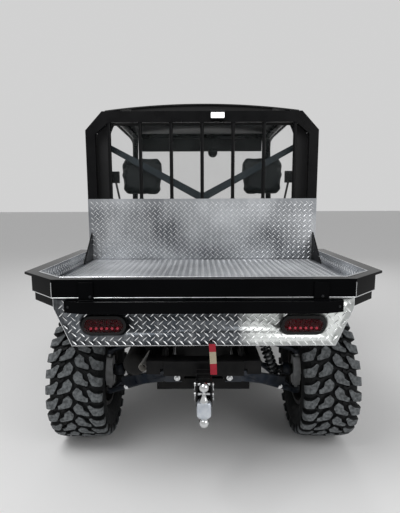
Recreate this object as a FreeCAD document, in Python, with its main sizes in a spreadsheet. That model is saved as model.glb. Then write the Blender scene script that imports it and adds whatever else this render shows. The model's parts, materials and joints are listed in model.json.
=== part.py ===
"""Side by side utility vehicle with a tilting flat cargo bed.

Millimetres. +X is the vehicle's right, +Y is forward and +Z is up. The ground is at Z = 0 and the
origin lies midway between the rearmost and the foremost point. Most distances along Y are counted
forward from the tail, which is the rear face of the bed's rear rail.
"""
import FreeCAD, Part
import math
import os

import Sketcher

Vector = FreeCAD.Vector
Rotation = FreeCAD.Rotation

# Driving sizes in millimetres, and angles in degrees: name, value
SIZES = (
    # overall
    ("nose_reach", 459), ("ball_reach", 105),
    # wheels
    ("wheelbase", 2057), ("axle_setback", 436), ("track_half", 651), ("tyre_radius", 355),
    ("tyre_width", 290), ("lug_height", 18), ("lug_pitches", 27), ("rim_radius", 178),
    ("rim_width", 214), ("rim_wall", 9), ("flange_lift", 14), ("hub_radius", 58),
    ("spindle_radius", 24), ("running_gap", 0.05), ("disc_inset", 26), ("disc_thick", 18),
    ("spoke_count", 6), ("kingpin_inset", 103), ("kingpin_height", 210), ("kingpin_width", 46),
    ("kingpin_stem", 20), ("shaft_rise", 44), ("joint_ball", 46),
    # chassis
    ("rail_inner", 190), ("rail_tube", 60), ("frame_drop", 25), ("frame_setback", 100),
    ("upper_rise", 88), ("cradle_rise", 62), ("cradle_inner", 96), ("cradle_tube", 50),
    ("skid_thick", 5), ("skid_inset", 10), ("engine_half", 170), ("engine_length", 410),
    ("drive_half", 110),
    # bed
    ("bed_length", 1050), ("floor_thick", 8), ("rim_rise", 69), ("wall_inner", 747),
    ("wall_thick_bed", 21), ("lip_reach", 55), ("lip_thick", 12), ("corner_cut", 139),
    ("rear_rail", 50), ("band_height", 45), ("bed_rise", 210), ("beam_height", 82),
    ("bed_beam", 50), ("beam_inset", 5), ("pin_ahead", 100), ("pin_drop", 60),
    ("pin_radius", 14), ("pad_gap", 0.3), ("panel_set", 15), ("panel_thick", 5),
    ("panel_height", 212), ("panel_taper", 70), ("panel_cheek", 49), ("bar_size", 50),
    ("bar_drop", 9), ("bar_out", 40), ("bar_inset", 54), ("bar_bend", 75),
    ("hanger_inset", 15), ("hanger_width", 60), ("hanger_thick", 8), ("hanger_drop", 11),
    ("lamp_inset", 139), ("lamp_rise", 90), ("grommet_length", 187), ("grommet_height", 81),
    ("grommet_proud", 8), ("lens_length", 165), ("lens_height", 57), ("lens_proud", 5),
    ("plate_height", 407), ("plate_thick", 5), ("rack_out", 15), ("post_width", 62),
    ("rack_tube", 26), ("rack_height", 563), ("top_rail", 70), ("rack_shoulder", 119),
    ("rack_bevel", 111), ("bar_pitch", 203), ("rack_bar", 24), ("rack_bar_count", 7),
    ("gusset_length", 210), ("gusset_height", 185), ("gusset_thick", 8),
    ("work_lamp_place", 100), ("work_lamp_width", 95), ("work_lamp_height", 56),
    ("work_lamp_depth", 40),
    # cab
    ("cab_gap", 70), ("cab_setback", 446), ("wall_thick", 20), ("cab_half", 700),
    ("sill_rise", 10), ("sill_height", 115), ("floor_sheet", 6), ("cage_radius", 25),
    ("cage_inset", 45), ("cage_lean", 55), ("shoulder_drop", 125), ("hoop_ahead", 75),
    ("cage_bend", 120), ("pillar_bend", 60), ("cowl_ahead", 35), ("visor_behind", 135),
    ("head_room", 255), ("roof_thick", 10), ("roof_out", 60), ("roof_crown", 42),
    ("roof_rib", 11), ("roof_lip", 22), ("roof_ahead", 35), ("roof_behind", 60), ("glass", 6),
    ("window_inset", 35), ("window_drop", 75), ("window_height", 505), ("brace_low", 1330),
    ("brace_drop", 220), ("seat_inset", 225), ("seat_half", 190), ("seat_length", 590),
    ("seat_base_height", 294), ("seat_wall", 12), ("cushion_thick", 110), ("back_thick", 120),
    ("back_rise", 690), ("head_half", 155), ("head_rise", 290), ("door_thick", 32),
    ("door_gap", 8), ("door_rise", 15), ("door_height", 570), ("door_setback", 360),
    ("door_front_gap", 60), ("door_bevel", 9), ("dash_rise", 714), ("dash_height", 210),
    ("dash_inward", 105), ("dash_outward", 175), ("pod_radius", 62), ("wheel_rim", 172),
    ("wheel_grip", 14), ("wheel_rise", 20), ("wheel_reach", 275), ("wheel_tilt", 38),
    ("mirror_place", 100), ("mirror_drop", 125), ("mirror_radius", 43),
    # front body
    ("hood_half", 330), ("hood_thick", 12), ("hood_drop", 180), ("hood_raise", 22),
    ("nose_setback", 130), ("fender_out", 80), ("arch_gap", 95), ("flare", 26),
    ("flare_out", 18), ("fender_wall", 12), ("fender_rise", 105), ("grille_low", 560),
    ("grille_thick", 24), ("slot_rows", 6), ("slot_half", 250), ("headlamp_inset", 70),
    ("headlamp_width", 200), ("headlamp_drop", 70), ("headlamp_height", 80),
    ("bumper_tube", 24), ("bumper_bend", 50),
    # tow gear
    ("receiver_rise", 25), ("receiver_size", 64), ("receiver_bore", 51), ("shank", 50),
    ("hitch_plate_drop", 31), ("hitch_plate_height", 67), ("hitch_plate_half", 175),
    ("hitch_plate_set", 40), ("ball_behind", 70), ("ball_radius", 25), ("ball_neck", 12.5),
    ("upper_ball_drop", 23), ("lower_ball_drop", 183), ("block_half", 29), ("block_drop", 70),
    ("block_height", 59), ("strap_width", 31), ("strap_rise", 130), ("strap_length", 150),
    ("silencer_radius", 55), ("silencer_length", 220), ("silencer_place", 330),
    ("silencer_set", 200), ("silencer_drop", 30), ("tip_radius", 28),
    # shared clearances, and places that several pieces use
    ("seat_gap", 0.3), ("shock_inset", 118), ("shock_stand_off", 62), ("shock_head_rise", 42),
    ("shock_offset", 44),
)


class Term:
    """A size with its value and the sheet expression that gives it."""

    def __init__(self, value, text):
        self.value = float(value)
        self.text = text

    def __float__(self):
        return self.value

    def __add__(self, other):
        other = term(other)
        return Term(self.value + other.value, f"({self.text} + {other.text})")

    def __radd__(self, other):
        return term(other) + self

    def __sub__(self, other):
        other = term(other)
        return Term(self.value - other.value, f"({self.text} - {other.text})")

    def __rsub__(self, other):
        return term(other) - self

    def __mul__(self, other):
        other = term(other)
        return Term(self.value * other.value, f"({self.text} * {other.text})")

    def __rmul__(self, other):
        return term(other) * self

    def __truediv__(self, other):
        other = term(other)
        return Term(self.value / other.value, f"({self.text} / {other.text})")

    def __neg__(self):
        return term(-1) * self


def term(value):
    """A plain number as a Term."""
    return value if isinstance(value, Term) else Term(value, f"({float(value)!r})")


doc = FreeCAD.newDocument("SideBySide")
sheet = doc.addObject("Spreadsheet::Sheet", "Sizes")
for row, (alias, value) in enumerate(SIZES, start=1):
    sheet.set(f"A{row}", alias)
    sheet.set(f"B{row}", str(value))
    sheet.setAlias(f"B{row}", alias)
doc.recompute()


class Sizes:
    """The named sizes, each read as a Term."""

    def __init__(self, rows):
        for alias, value in rows:
            setattr(self, alias, Term(value, f"Sizes.{alias}"))


s = Sizes(SIZES)

# Places along Y
tail = (s.ball_reach + s.axle_setback - s.bed_length - s.wheelbase - s.nose_reach) / 2
bed_front = tail + s.bed_length
rear_axle = bed_front - s.axle_setback
front_axle = rear_axle + s.wheelbase
nose = front_axle + s.nose_reach
hood_front = nose - s.nose_setback
frame_front = hood_front - s.frame_setback
cab_back = bed_front + s.cab_gap
cab_front = front_axle - s.cab_setback
hoop_y = cab_back + s.hoop_ahead
cowl_y = cab_front + s.cowl_ahead
visor_y = cab_front - s.visor_behind
roof_back = cab_back + s.roof_behind
roof_front = cab_front + s.roof_ahead
door_back = cab_back + s.door_setback
door_front = cab_front - s.door_front_gap
dash_back = cab_front - s.dash_inward
dash_front = cab_front + s.dash_outward
wheel_y = cab_front - s.wheel_reach

# Heights, each from what carries the piece
frame_low = s.tyre_radius - s.frame_drop
lower_z = (frame_low, frame_low + s.rail_tube)
cradle_low = lower_z[1] + s.cradle_rise
cradle_z = (cradle_low, cradle_low + s.cradle_tube)
upper_rail_low = cradle_z[1] + s.upper_rise
upper_z = (upper_rail_low, upper_rail_low + s.rail_tube)
shaft_height = lower_z[1] + s.shaft_rise
bed_beam_low = upper_z[1] + s.bed_rise
pin_height = bed_beam_low - s.pin_drop
floor_low = bed_beam_low + s.beam_height
floor_top = floor_low + s.floor_thick
band_low = floor_low - s.band_height
rim_top = floor_top + s.rim_rise
panel_bottom = floor_low - s.panel_height
panel_corner = floor_low - s.panel_cheek
lamp_height = panel_bottom + s.lamp_rise
bar_top = floor_low - s.bar_drop
hanger_top = rim_top - s.hanger_drop
plate_top = floor_top + s.plate_height
rack_top = plate_top + s.rack_height
rack_corner = rack_top - s.rack_shoulder
floor_z = (lower_z[1], lower_z[1] + s.floor_sheet)
sill_low = frame_low + s.sill_rise
sill_top = sill_low + s.sill_height
door_low = sill_top + s.door_rise
door_top = door_low + s.door_height
seat_base_top = floor_z[1] + s.seat_base_height
back_top = seat_base_top + s.back_rise
head_top = back_top + s.head_rise
cage_top = head_top + s.head_room
cage_shoulder = cage_top - s.shoulder_drop
window_top = cage_top - s.window_drop
window_low = window_top - s.window_height
brace_high = cage_top - s.brace_drop
dash_top = floor_z[1] + s.dash_rise
dash_low = dash_top - s.dash_height
cowl_height = dash_top - s.cowl_ahead
hood_nose = dash_top - s.hood_drop
receiver_top = upper_rail_low + s.receiver_rise
shock_head_height = upper_rail_low + s.shock_head_rise

# Places along X, from the middle
kingpin = s.track_half - s.kingpin_inset
shock_foot = kingpin - s.shock_inset
rail_x = (s.rail_inner, s.rail_inner + s.rail_tube)
shock_head = rail_x[1] + s.shock_stand_off
cradle_x = (s.cradle_inner, s.cradle_inner + s.cradle_tube)
skirt_out = s.wall_inner + s.wall_thick_bed
lip_out = skirt_out + s.lip_reach
rear_straight = skirt_out - s.corner_cut
panel_bottom_half = rear_straight - s.panel_taper
bar_half = rear_straight - s.bar_inset
bar_straight = bar_half - s.bar_bend
hanger_place = bar_straight - s.hanger_inset
lamp_place = panel_bottom_half - s.lamp_inset
rack_half = s.wall_inner + s.rack_out
rack_corner_half = rack_half - s.rack_bevel
cage_half = s.cab_half - s.cage_inset
cage_top_half = cage_half - s.cage_lean
roof_half = cage_top_half + s.roof_out
window_half = cage_half - s.window_inset
seat_place = cage_half - s.seat_inset
fender_half = s.cab_half + s.fender_out
nodes = {}


# Helpers that make bound objects

def bind(item, name, value):
    """Set a property and tie it to the sheet."""
    value = term(value)
    item.setExpression(name, value.text)


def place(item, x, y, z, rotation=None):
    """Put an object at a point tied to the sheet."""
    item.Placement = FreeCAD.Placement(Vector(float(x), float(y), float(z)), rotation or Rotation())
    for axis, value in zip("xyz", (x, y, z)):
        bind(item, f"Placement.Base.{axis}", value)


def box(label, x, y, z):
    """A block between pairs of limits along X, Y and Z."""
    item = doc.addObject("Part::Box", label)
    for name, (low, high) in zip(("Length", "Width", "Height"), (x, y, z)):
        bind(item, name, high - low)
    place(item, x[0], y[0], z[0])
    return item


TURNS = {"X": Rotation(Vector(0, 1, 0), 90), "Y": Rotation(Vector(1, 0, 0), -90), "Z": Rotation()}


def cylinder(label, axis, start, length, radius):
    """A round bar from a point along an axis."""
    item = doc.addObject("Part::Cylinder", label)
    bind(item, "Radius", radius)
    bind(item, "Height", length)
    place(item, *start, TURNS[axis])
    return item


def cut(label, base, *tools):
    """The base with each tool taken away."""
    for count, tool in enumerate(tools, start=1):
        last = count == len(tools)
        item = doc.addObject("Part::Cut", label if last else f"{label}_cut{count}")
        item.Base = base
        item.Tool = tool
        base = item
    return base


def fuse(label, *items):
    """One solid from several that touch."""
    item = doc.addObject("Part::MultiFuse", label)
    item.Shapes = list(items)
    item.Refine = True
    return item


def group(label, *items):
    """Several solids under one name."""
    item = doc.addObject("Part::Compound", label)
    item.Links = list(items)
    return item


def common(label, first, second):
    """What two pieces share."""
    item = doc.addObject("Part::Common", label)
    item.Base = first
    item.Tool = second
    return item


def cone(label, start, length, radius, far_radius):
    """A round upright taper from a point."""
    item = doc.addObject("Part::Cone", label)
    bind(item, "Radius1", radius)
    bind(item, "Radius2", far_radius)
    bind(item, "Height", length)
    place(item, *start)
    return item


def bevelled(label, base, size, chosen):
    """The base with a bevel on each edge that chosen picks by its bounding box."""
    doc.recompute()
    item = doc.addObject("Part::Chamfer", label)
    item.Base = base
    item.Edges = [(number, float(size), float(size))
                  for number, edge in enumerate(base.Shape.Edges, start=1) if chosen(edge.BoundBox)]
    return item


def shifted(label, item, y):
    """The same piece further along Y."""
    other = group(label, item)
    bind(other, "Placement.Base.y", y)
    return other


def mirror(label, item):
    """The same piece on the vehicle's other side."""
    other = doc.addObject("Part::Mirroring", label)
    other.Source = item
    other.Normal = Vector(1, 0, 0)
    return other


def pair(label, *items):
    """Pieces with their twins on the other side."""
    both = []
    for item in items:
        both += [item, mirror(f"{item.Name}_twin", item)]
    return group(label, *both)


def feature(label, shape):
    """A piece whose path no sketch or primitive holds."""
    item = doc.addObject("Part::Feature", label)
    item.Shape = shape
    item.Placement = FreeCAD.Placement()
    return item


def keep(label, item):
    """Name a finished piece as a node."""
    item.Label = label
    nodes[label] = item
    return item


PLANES = {"XY": "XY_Plane", "XZ": "XZ_Plane", "YZ": "YZ_Plane"}


def outline(body, plane, points):
    """A closed sketch of straight lines whose corners are tied to the sheet."""
    sketch = body.newObject("Sketcher::SketchObject", f"{body.Name}_outline")
    support = [item for item in body.Origin.OriginFeatures if item.Role == PLANES[plane]]
    sketch.AttachmentSupport = [(support[0], "")]
    sketch.MapMode = "FlatFace"
    corners = [(term(a), term(b)) for a, b in points]
    count = len(corners)
    for index in range(count):
        start = corners[index]
        end = corners[(index + 1) % count]
        line = Part.LineSegment(Vector(float(start[0]), float(start[1]), 0),
                                Vector(float(end[0]), float(end[1]), 0))
        sketch.addGeometry(line, False)
    for index in range(count):
        sketch.addConstraint(Sketcher.Constraint("Coincident", index, 2, (index + 1) % count, 1))
    for index, corner in enumerate(corners):
        for kind, value in zip(("DistanceX", "DistanceY"), corner):
            number = sketch.addConstraint(Sketcher.Constraint(kind, -1, 1, index, 1, float(value)))
            sketch.setExpression(f"Constraints[{number}]", value.text)
    return sketch


def prism(label, plane, points, start, end):
    """A flat outline thickened from start to end along the third axis."""
    body = doc.addObject("PartDesign::Body", label)
    sketch = outline(body, plane, points)
    pad = body.newObject("PartDesign::Pad", f"{label}_pad")
    pad.Profile = sketch
    bind(pad, "Length", end - start)
    pad.Reversed = plane == "XZ"
    axis = {"XY": "z", "XZ": "y", "YZ": "x"}[plane]
    bind(body, f"Placement.Base.{axis}", start)
    return body


def turned(label, points, centre):
    """An outline of (x, radius) points turned about the X axis through centre."""
    body = doc.addObject("PartDesign::Body", label)
    sketch = outline(body, "XY", points)
    turn = body.newObject("PartDesign::Revolution", f"{label}_turn")
    turn.Profile = sketch
    axis = [item for item in body.Origin.OriginFeatures if item.Role == "X_Axis"]
    turn.ReferenceAxis = (axis[0], [""])
    turn.Angle = 360
    place(body, *centre)
    return body


def point(x, y, z):
    """A vector from sizes."""
    return Vector(float(x), float(y), float(z))


def tube(points, radius, bend=0):
    """A round tube along straight runs, joined by arcs of the bend radius."""
    points = [point(*item) for item in points]
    radius, bend = float(radius), float(bend)
    pieces = []
    last = points[0]
    for before, corner, after in zip(points, points[1:], points[2:]):
        way_in = (corner - before).normalize()
        way_out = (after - corner).normalize()
        turn = way_in.getAngle(way_out)
        reach = bend * math.tan(turn / 2)
        first = corner - way_in * reach
        middle = (way_out - way_in).normalize()
        centre = corner + middle * (bend / math.cos(turn / 2))
        pieces.append(Part.makeCylinder(radius, (first - last).Length, last, way_in))
        disc = Part.Face(Part.Wire([Part.Circle(first, way_in, radius).toShape()]))
        pieces.append(disc.revolve(centre, way_in.cross(way_out), math.degrees(turn)))
        last = corner + way_out * reach
    way = points[-1] - last
    pieces.append(Part.makeCylinder(radius, way.Length, last, way))
    return joined(pieces) if len(pieces) > 1 else pieces[0]


def between(first, second):
    """A solid with flat sides between two flat outlines that have as many corners."""
    faces = [Part.Face(Part.makePolygon([*ring, ring[0]])) for ring in (first, second)]
    for index, corner in enumerate(first):
        after = (index + 1) % len(first)
        faces.append(Part.Face(Part.makePolygon(
            [corner, first[after], second[after], second[index], corner])))
    solid = Part.Solid(Part.Shell(faces))
    if solid.Volume < 0:
        solid.reverse()
    return solid


def skinned(rings):
    """A solid with straight runs from each outline to the next."""
    return Part.makeLoft([Part.makePolygon([*ring, ring[0]]) for ring in rings], True, True)


def joined(shapes):
    """One shape from several that touch."""
    return shapes[0].multiFuse(shapes[1:]).removeSplitter()


def both_sides(shape):
    """A shape with its mirror image."""
    return [shape, shape.mirror(Vector(0, 0, 0), Vector(1, 0, 0))]


# Wheels and what they turn on

# corners of a lug's section: in from the tyre's side, down from the tread; the last three lie in
# the carcass
LUG_SECTION = ((141, 0), (38, 3), (6, 32), (0, 56), (12, 92), (35, 55), (141, 28))
# a lug's two long edges: distance round the tyre at its middle, and slant
LUG_EDGES = ((2, 0.24), (34, 0.18))


def tyre_outline():
    """Section of a tyre's carcass as (x from its middle, radius) corners."""
    half = s.tyre_width / 2
    bead = s.rim_width / 2 - s.rim_wall
    ground = s.tyre_radius - s.lug_height
    right = [(bead, s.rim_radius), (bead, s.rim_radius + s.flange_lift + s.seat_gap),
             (half - 17, s.rim_radius + 34), (half - 7, s.rim_radius + 80), (half - 8, ground - 54),
             (half - 20, ground - 22), (half - 55, ground - 5), (half - 100, ground)]
    left = [(-x, radius) for x, radius in reversed(right)]
    return right + left


def lug_ring():
    """Slanted lugs round both halves of the tread, in turn, about the wheel's middle."""
    half = float(s.tyre_width) / 2
    radius = float(s.tyre_radius)
    reach = LUG_EDGES[1][0]
    crest = math.sqrt(radius ** 2 - reach ** 2)
    count = int(float(s.lug_pitches))
    lowest = math.degrees(math.asin(reach / radius))
    lugs = []
    for side, stagger in ((1, 0), (-1, 0.5)):
        edges = [[Vector(side * (half - inward), edge - slant * (half - inward), drop - crest)
                  for inward, drop in LUG_SECTION] for edge, slant in LUG_EDGES]
        lug = between(*edges)
        for number in range(count):
            copy = lug.copy()
            copy.rotate(Vector(), Vector(1, 0, 0), 360 * (number + stagger) / count - lowest)
            lugs.append(copy)
    return Part.makeCompound(lugs)


def rim_outline():
    """Section of a wheel rim with its disc and hub, x outward from the tyre's middle."""
    half = s.rim_width / 2
    inner = s.rim_radius - s.rim_wall
    lip = s.rim_radius + s.flange_lift
    face = half - s.disc_inset
    bore = s.spindle_radius + s.running_gap
    back = face - s.disc_thick
    return [(-half, inner), (back, inner), (back, s.hub_radius), (back - 40, s.hub_radius),
            (back - 40, bore), (face + 6, bore), (face + 6, s.hub_radius), (face, s.hub_radius + 10),
            (face, inner), (half, inner), (half, lip), (half - s.rim_wall, lip),
            (half - s.rim_wall, s.rim_radius), (s.rim_wall - half, s.rim_radius),
            (s.rim_wall - half, lip), (-half, lip)]


# a rim window's corners: half width, distance from the wheel's middle
WINDOW = ((16, 78), (39, 128), (41, 148), (24, 158))


def wheels():
    """The right rear tyre and rim, and their copies at the other corners."""
    centre = (s.track_half, rear_axle, s.tyre_radius)
    carcass = turned("carcass", tyre_outline(), centre)
    lugs = feature("lugs", lug_ring())
    place(lugs, *centre)
    rim_turned = turned("rim_turned", rim_outline(), centre)
    corners = [(rear_axle + y, s.tyre_radius + z) for y, z in WINDOW]
    corners += [(rear_axle - y, s.tyre_radius + z) for y, z in reversed(WINDOW)]
    window = prism("window", "YZ", corners, s.track_half, s.track_half + s.rim_width / 2)
    doc.recompute()
    step = 360 / float(s.spoke_count)
    cuts = []
    for count in range(int(float(s.spoke_count))):
        shape = window.Shape.copy()
        shape.rotate(point(*centre), Vector(1, 0, 0), step * count)
        cuts.append(shape)
    windows = feature("windows", Part.makeCompound(cuts))
    for name, item in (("tyre", fuse("tyre_solid", carcass, lugs)),
                       ("rim", cut("rim_solid", rim_turned, windows))):
        ahead = shifted(f"{name}_ahead", item, s.wheelbase)
        keep(f"{name}_rear_right", item)
        keep(f"{name}_front_right", ahead)
        keep(f"{name}_rear_left", mirror(f"{name}_rear_twin", item))
        keep(f"{name}_front_left", mirror(f"{name}_front_twin", ahead))


def spindle(name, axle):
    """The stub that carries a rim, from the upright outward."""
    outer = s.track_half + s.rim_width / 2 - s.disc_inset
    return cylinder(f"{name}_spindle", "X", (kingpin, axle, s.tyre_radius),
                    outer - kingpin, s.spindle_radius)


def upright(name, axle):
    """The block between the arms that holds the spindle."""
    half_width = s.kingpin_width / 2
    half_height = s.kingpin_height / 2 - s.kingpin_stem
    outline_points = [(-half_width - 14, -half_height / 2), (-half_width, -half_height),
                      (half_width, -half_height), (half_width + 14, -half_height / 2),
                      (half_width + 14, half_height / 2), (half_width, half_height),
                      (-half_width, half_height), (-half_width - 14, half_height / 2)]
    points = [(axle + y, s.tyre_radius + z) for y, z in outline_points]
    block = prism(f"{name}_upright", "YZ", points, kingpin - half_width, kingpin + half_width - 4)
    stem = cylinder(f"{name}_stem", "Z", (kingpin, axle, s.tyre_radius - s.kingpin_height / 2),
                    s.kingpin_height, 10)
    return fuse(f"{name}_upright_solid", block, stem)


wheels()
rear_carrier = fuse("rear_carrier", upright("rear", rear_axle), spindle("rear", rear_axle))
keep("rear_hub_carriers", pair("rear_hub_carriers", rear_carrier))

steer_arm_back = front_axle - 110
steer_arm_height = s.tyre_radius + 62
steer_arm = box("steer_arm", (kingpin - 16, kingpin + 4), (steer_arm_back - 14, front_axle),
                (steer_arm_height - 8, steer_arm_height + 8))
steer_eye = cylinder("steer_eye", "Z", (kingpin - 6, steer_arm_back, steer_arm_height - 8), 16, 16)
joint_ball = doc.addObject("Part::Sphere", "joint_ball")
bind(joint_ball, "Radius", s.joint_ball)
place(joint_ball, kingpin, front_axle, s.tyre_radius)
knuckle = fuse("knuckle_right_solid", upright("front", front_axle), spindle("front", front_axle),
               steer_arm, steer_eye, joint_ball)
keep("knuckle_right", knuckle)
keep("knuckle_left", mirror("knuckle_left_solid", knuckle))

# Chassis

pad_top = bed_beam_low - s.pad_gap
frame_back = tail + s.hitch_plate_set
upper_front = tail + s.bed_length

side_members = [
    box("lower_rail", rail_x, (rear_axle - 190, frame_front), lower_z),
    box("upper_rail", rail_x, (frame_back, upper_front), upper_z),
    box("cradle_rail", cradle_x, (rear_axle - 350, rear_axle + 300), cradle_z),
    box("front_post", rail_x, (upper_front - s.rail_tube, upper_front), (lower_z[1], pad_top)),
    box("rear_post", rail_x, (rear_axle - 190, rear_axle - 190 + s.rail_tube),
        (lower_z[1], upper_z[0])),
    box("nose_post", rail_x, (frame_front - s.rail_tube, frame_front),
        (lower_z[1], hood_nose - 120)),
    box("nose_rail", rail_x, (front_axle - 380, frame_front - s.rail_tube),
        (upper_rail_low, upper_rail_low + 40)),
    box("nose_back_post", rail_x, (front_axle - 380, front_axle - 340),
        (lower_z[1], upper_rail_low)),
]
hinge_plate_points = [
    (tail + s.pin_ahead - 18, pin_height), (tail + s.pin_ahead - 12, pin_height + 16),
    (tail + s.pin_ahead + 12, pin_height + 16), (tail + s.pin_ahead + 20, pin_height),
    (tail + s.pin_ahead + 130, upper_z[1]), (tail + s.pin_ahead + 24, upper_z[1])]
hinge_plate = prism("hinge_plate", "YZ", hinge_plate_points, rail_x[0] + 15, rail_x[1] - 15)
hinge_bore = cylinder("hinge_bore", "X", (0, tail + s.pin_ahead, pin_height), 400,
                      s.pin_radius + s.running_gap)
side_members.append(cut("hinge_bracket", hinge_plate, hinge_bore))
for name, middle in (("rear", rear_axle - s.shock_offset), ("front", front_axle + s.shock_offset)):
    for edge, near in (("back", -25 - s.seat_gap - 6), ("ahead", 25 + s.seat_gap)):
        side_members.append(box(f"{name}_tower_{edge}", (rail_x[1], shock_head + 22),
                                (middle + near, middle + near + 6), (upper_z[0], upper_z[1] + 10)))
twins = [mirror(f"{item.Name}_twin", item) for item in side_members]
span_x = (-s.rail_inner, s.rail_inner)
CROSS_PLACES = (("cross_rear", rear_axle - 190, lower_z), ("cross_mid", cab_back - 10, lower_z),
                ("cross_seat", cab_back + 580, lower_z), ("cross_cowl", cab_front - 25, lower_z),
                ("cross_nose", frame_front - s.rail_tube, lower_z),
                ("cross_rack", front_axle - 140, lower_z),
                ("cross_upper_rear", frame_back, (receiver_top, upper_z[1])),
                ("cross_upper_front", upper_front - s.rail_tube, upper_z))
crosses = [box(name, span_x, (back, back + s.rail_tube), z) for name, back, z in CROSS_PLACES]
CRADLE_TIES = (("tie_rear", rear_axle - 190), ("tie_front", rear_axle + 230))
for name, back in CRADLE_TIES:
    crosses.append(box(name, (-rail_x[1], rail_x[1]), (back, back + s.rail_tube),
                       (cradle_z[0], cradle_z[1])))
    crosses.append(box(f"{name}_up", (-cradle_x[1], cradle_x[1]), (back, back + 12),
                       (cradle_z[1], upper_z[0])))
front_tie = box("tie_front_post", rail_x, (rear_axle + 230, rear_axle + 230 + s.rail_tube),
                (lower_z[1], upper_z[0]))
crosses += [front_tie, mirror("tie_front_post_twin", front_tie)]
keep("chassis_frame", fuse("chassis_frame", *side_members, *twins, *crosses))

skid_outline = [(upper_front, frame_low - s.skid_thick), (frame_front, frame_low - s.skid_thick),
                (frame_front + 95, frame_low + 125), (frame_front + 90, frame_low + 130),
                (frame_front, frame_low), (upper_front, frame_low)]
skid_half = s.rail_inner - s.skid_inset
keep("skid_plate", prism("skid_plate", "YZ", skid_outline, -skid_half, skid_half))

cab_y = (cab_back + s.wall_thick, cab_front)
sill_in = cage_half - s.cage_radius - 5
cab_floor = box("cab_floor_sheet", (-sill_in, sill_in), cab_y, floor_z)
toe_board = prism("toe_board", "YZ", [(cab_front - 6, floor_z[1]), (cab_front, floor_z[1]),
                                     (cab_front, dash_low), (cab_front - 6, dash_low)],
                  -sill_in, sill_in)
keep("cab_floor", fuse("cab_floor", cab_floor, toe_board))

engine_back = cab_back + s.wall_thick + 50
keep("engine_block", box("engine_block", (-s.engine_half, s.engine_half),
                         (engine_back, engine_back + s.engine_length),
                         (floor_z[1], seat_base_top - 40)))

rear_drive = box("rear_drive", (s.seat_gap - cradle_x[0], cradle_x[0] - s.seat_gap),
                 (rear_axle - 130 + s.seat_gap, rear_axle + 230 - s.seat_gap),
                 (lower_z[1], cradle_z[1] + 50))
front_drive = box("front_drive", (-s.drive_half, s.drive_half),
                  (front_axle - 80 + s.seat_gap, front_axle + 120),
                  (lower_z[0] + 20, lower_z[1] + 100))
keep("final_drives", group("final_drives", rear_drive, front_drive))

# axle, inner end, how far the outer end stays from the kingpin's line
DRIVES = ((rear_axle, cradle_x[0], s.kingpin_width / 2 + s.seat_gap),
          (front_axle, s.drive_half + s.seat_gap, s.joint_ball + s.seat_gap))
half_shafts = []
for axle, inner, stand_off in DRIVES:
    start = point(inner, axle, shaft_height)
    end = point(kingpin - stand_off, axle, s.tyre_radius)
    way = (end - start).normalize()
    along = Vector(1, 0, 0)
    pieces = [Part.makeCylinder(13, (end - start).Length - 16, start + way * 8, way),
              Part.makeCylinder(18, 14, start, along),
              Part.makeCylinder(34, 62, start + way * (270 - float(inner)), way),
              Part.makeCylinder(34, 48, end - way * 60, way),
              Part.makeCylinder(24, 22, end - along * 22, along)]
    half_shafts += both_sides(joined(pieces))
keep("half_shafts", feature("half_shafts", Part.makeCompound(half_shafts)))

# Suspension arms and shocks

eye_height = 30
low_eye = s.tyre_radius - s.kingpin_height / 2 - s.seat_gap - eye_height
high_eye = s.tyre_radius + s.kingpin_height / 2 + s.seat_gap
bush_radius = 20
arm_radius = 14


def arm(eye_low, axle, bushes, cross=None):
    """One wishbone: two tubes from inner bushes (x, y, z) to the eye on the kingpin's line."""
    eye = point(kingpin, axle, eye_low)
    shapes = [Part.makeCylinder(24, eye_height, eye)]
    for bush in bushes:
        start = point(*bush)
        shapes.append(Part.makeCylinder(bush_radius, 50, start - Vector(0, 25, 0), Vector(0, 1, 0)))
        end = eye + Vector(0, 0, 6 if bush[2].value > eye.z and eye_low is low_eye else eye_height / 2)
        shapes.append(tube([(start.x, start.y, start.z), (end.x, end.y, end.z)], arm_radius))
    if cross:
        shapes.append(Part.makeCylinder(8, float(cross[1] - cross[0]),
                                        point(shock_foot, cross[0], cross[2]), Vector(0, 1, 0)))
    return joined(shapes)


bush_out = bush_radius + s.seat_gap
rear_low_x = cradle_x[1] + bush_out
front_low_x = rail_x[1] + bush_out
high_x = rail_x[0] + s.rail_tube / 2
high_z = upper_rail_low - bush_out
cradle_mid = cradle_low + s.cradle_tube / 2
rail_mid = frame_low + s.rail_tube / 2
eye_mid = low_eye + eye_height / 2


def share(outer, inner, inner_x):
    """Where an arm's tube passes the shock's foot, between its eye and its bush."""
    return outer + (inner - outer) * (kingpin - shock_foot) / (kingpin - inner_x)


rear_foot = share(eye_mid, cradle_mid, rear_low_x)
front_foot = share(eye_mid, rail_mid, front_low_x)
arms = [
    arm(low_eye, rear_axle, [(rear_low_x, rear_axle - 320, cradle_mid),
                             (rear_low_x, rear_axle + 190, cradle_mid)],
        (rear_axle - 100, rear_axle + 60, rear_foot)),
    arm(high_eye, rear_axle, [(high_x, rear_axle + 20, high_z), (high_x, rear_axle + 150, high_z)]),
    arm(low_eye, front_axle, [(front_low_x, front_axle - 200, rail_mid),
                              (front_low_x, front_axle + 200, rail_mid)],
        (front_axle - 92, front_axle + 92, front_foot)),
    arm(high_eye, front_axle, [(high_x, front_axle - 150, high_z), (high_x, front_axle - 20, high_z)]),
]
keep("suspension_arms", feature("suspension_arms", Part.makeCompound(
    [side for shape in arms for side in both_sides(shape)])))


def spring(start, way, length, turns=6):
    """A coil spring's turns as rounds that swell and narrow."""
    half = length / turns / 2
    rounds = []
    for count in range(turns):
        low = start + way * (half * 2 * count)
        rounds += [Part.makeCone(24, 32, half, low, way), Part.makeCone(32, 24, half, low + way * half, way)]
    return rounds


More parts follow.
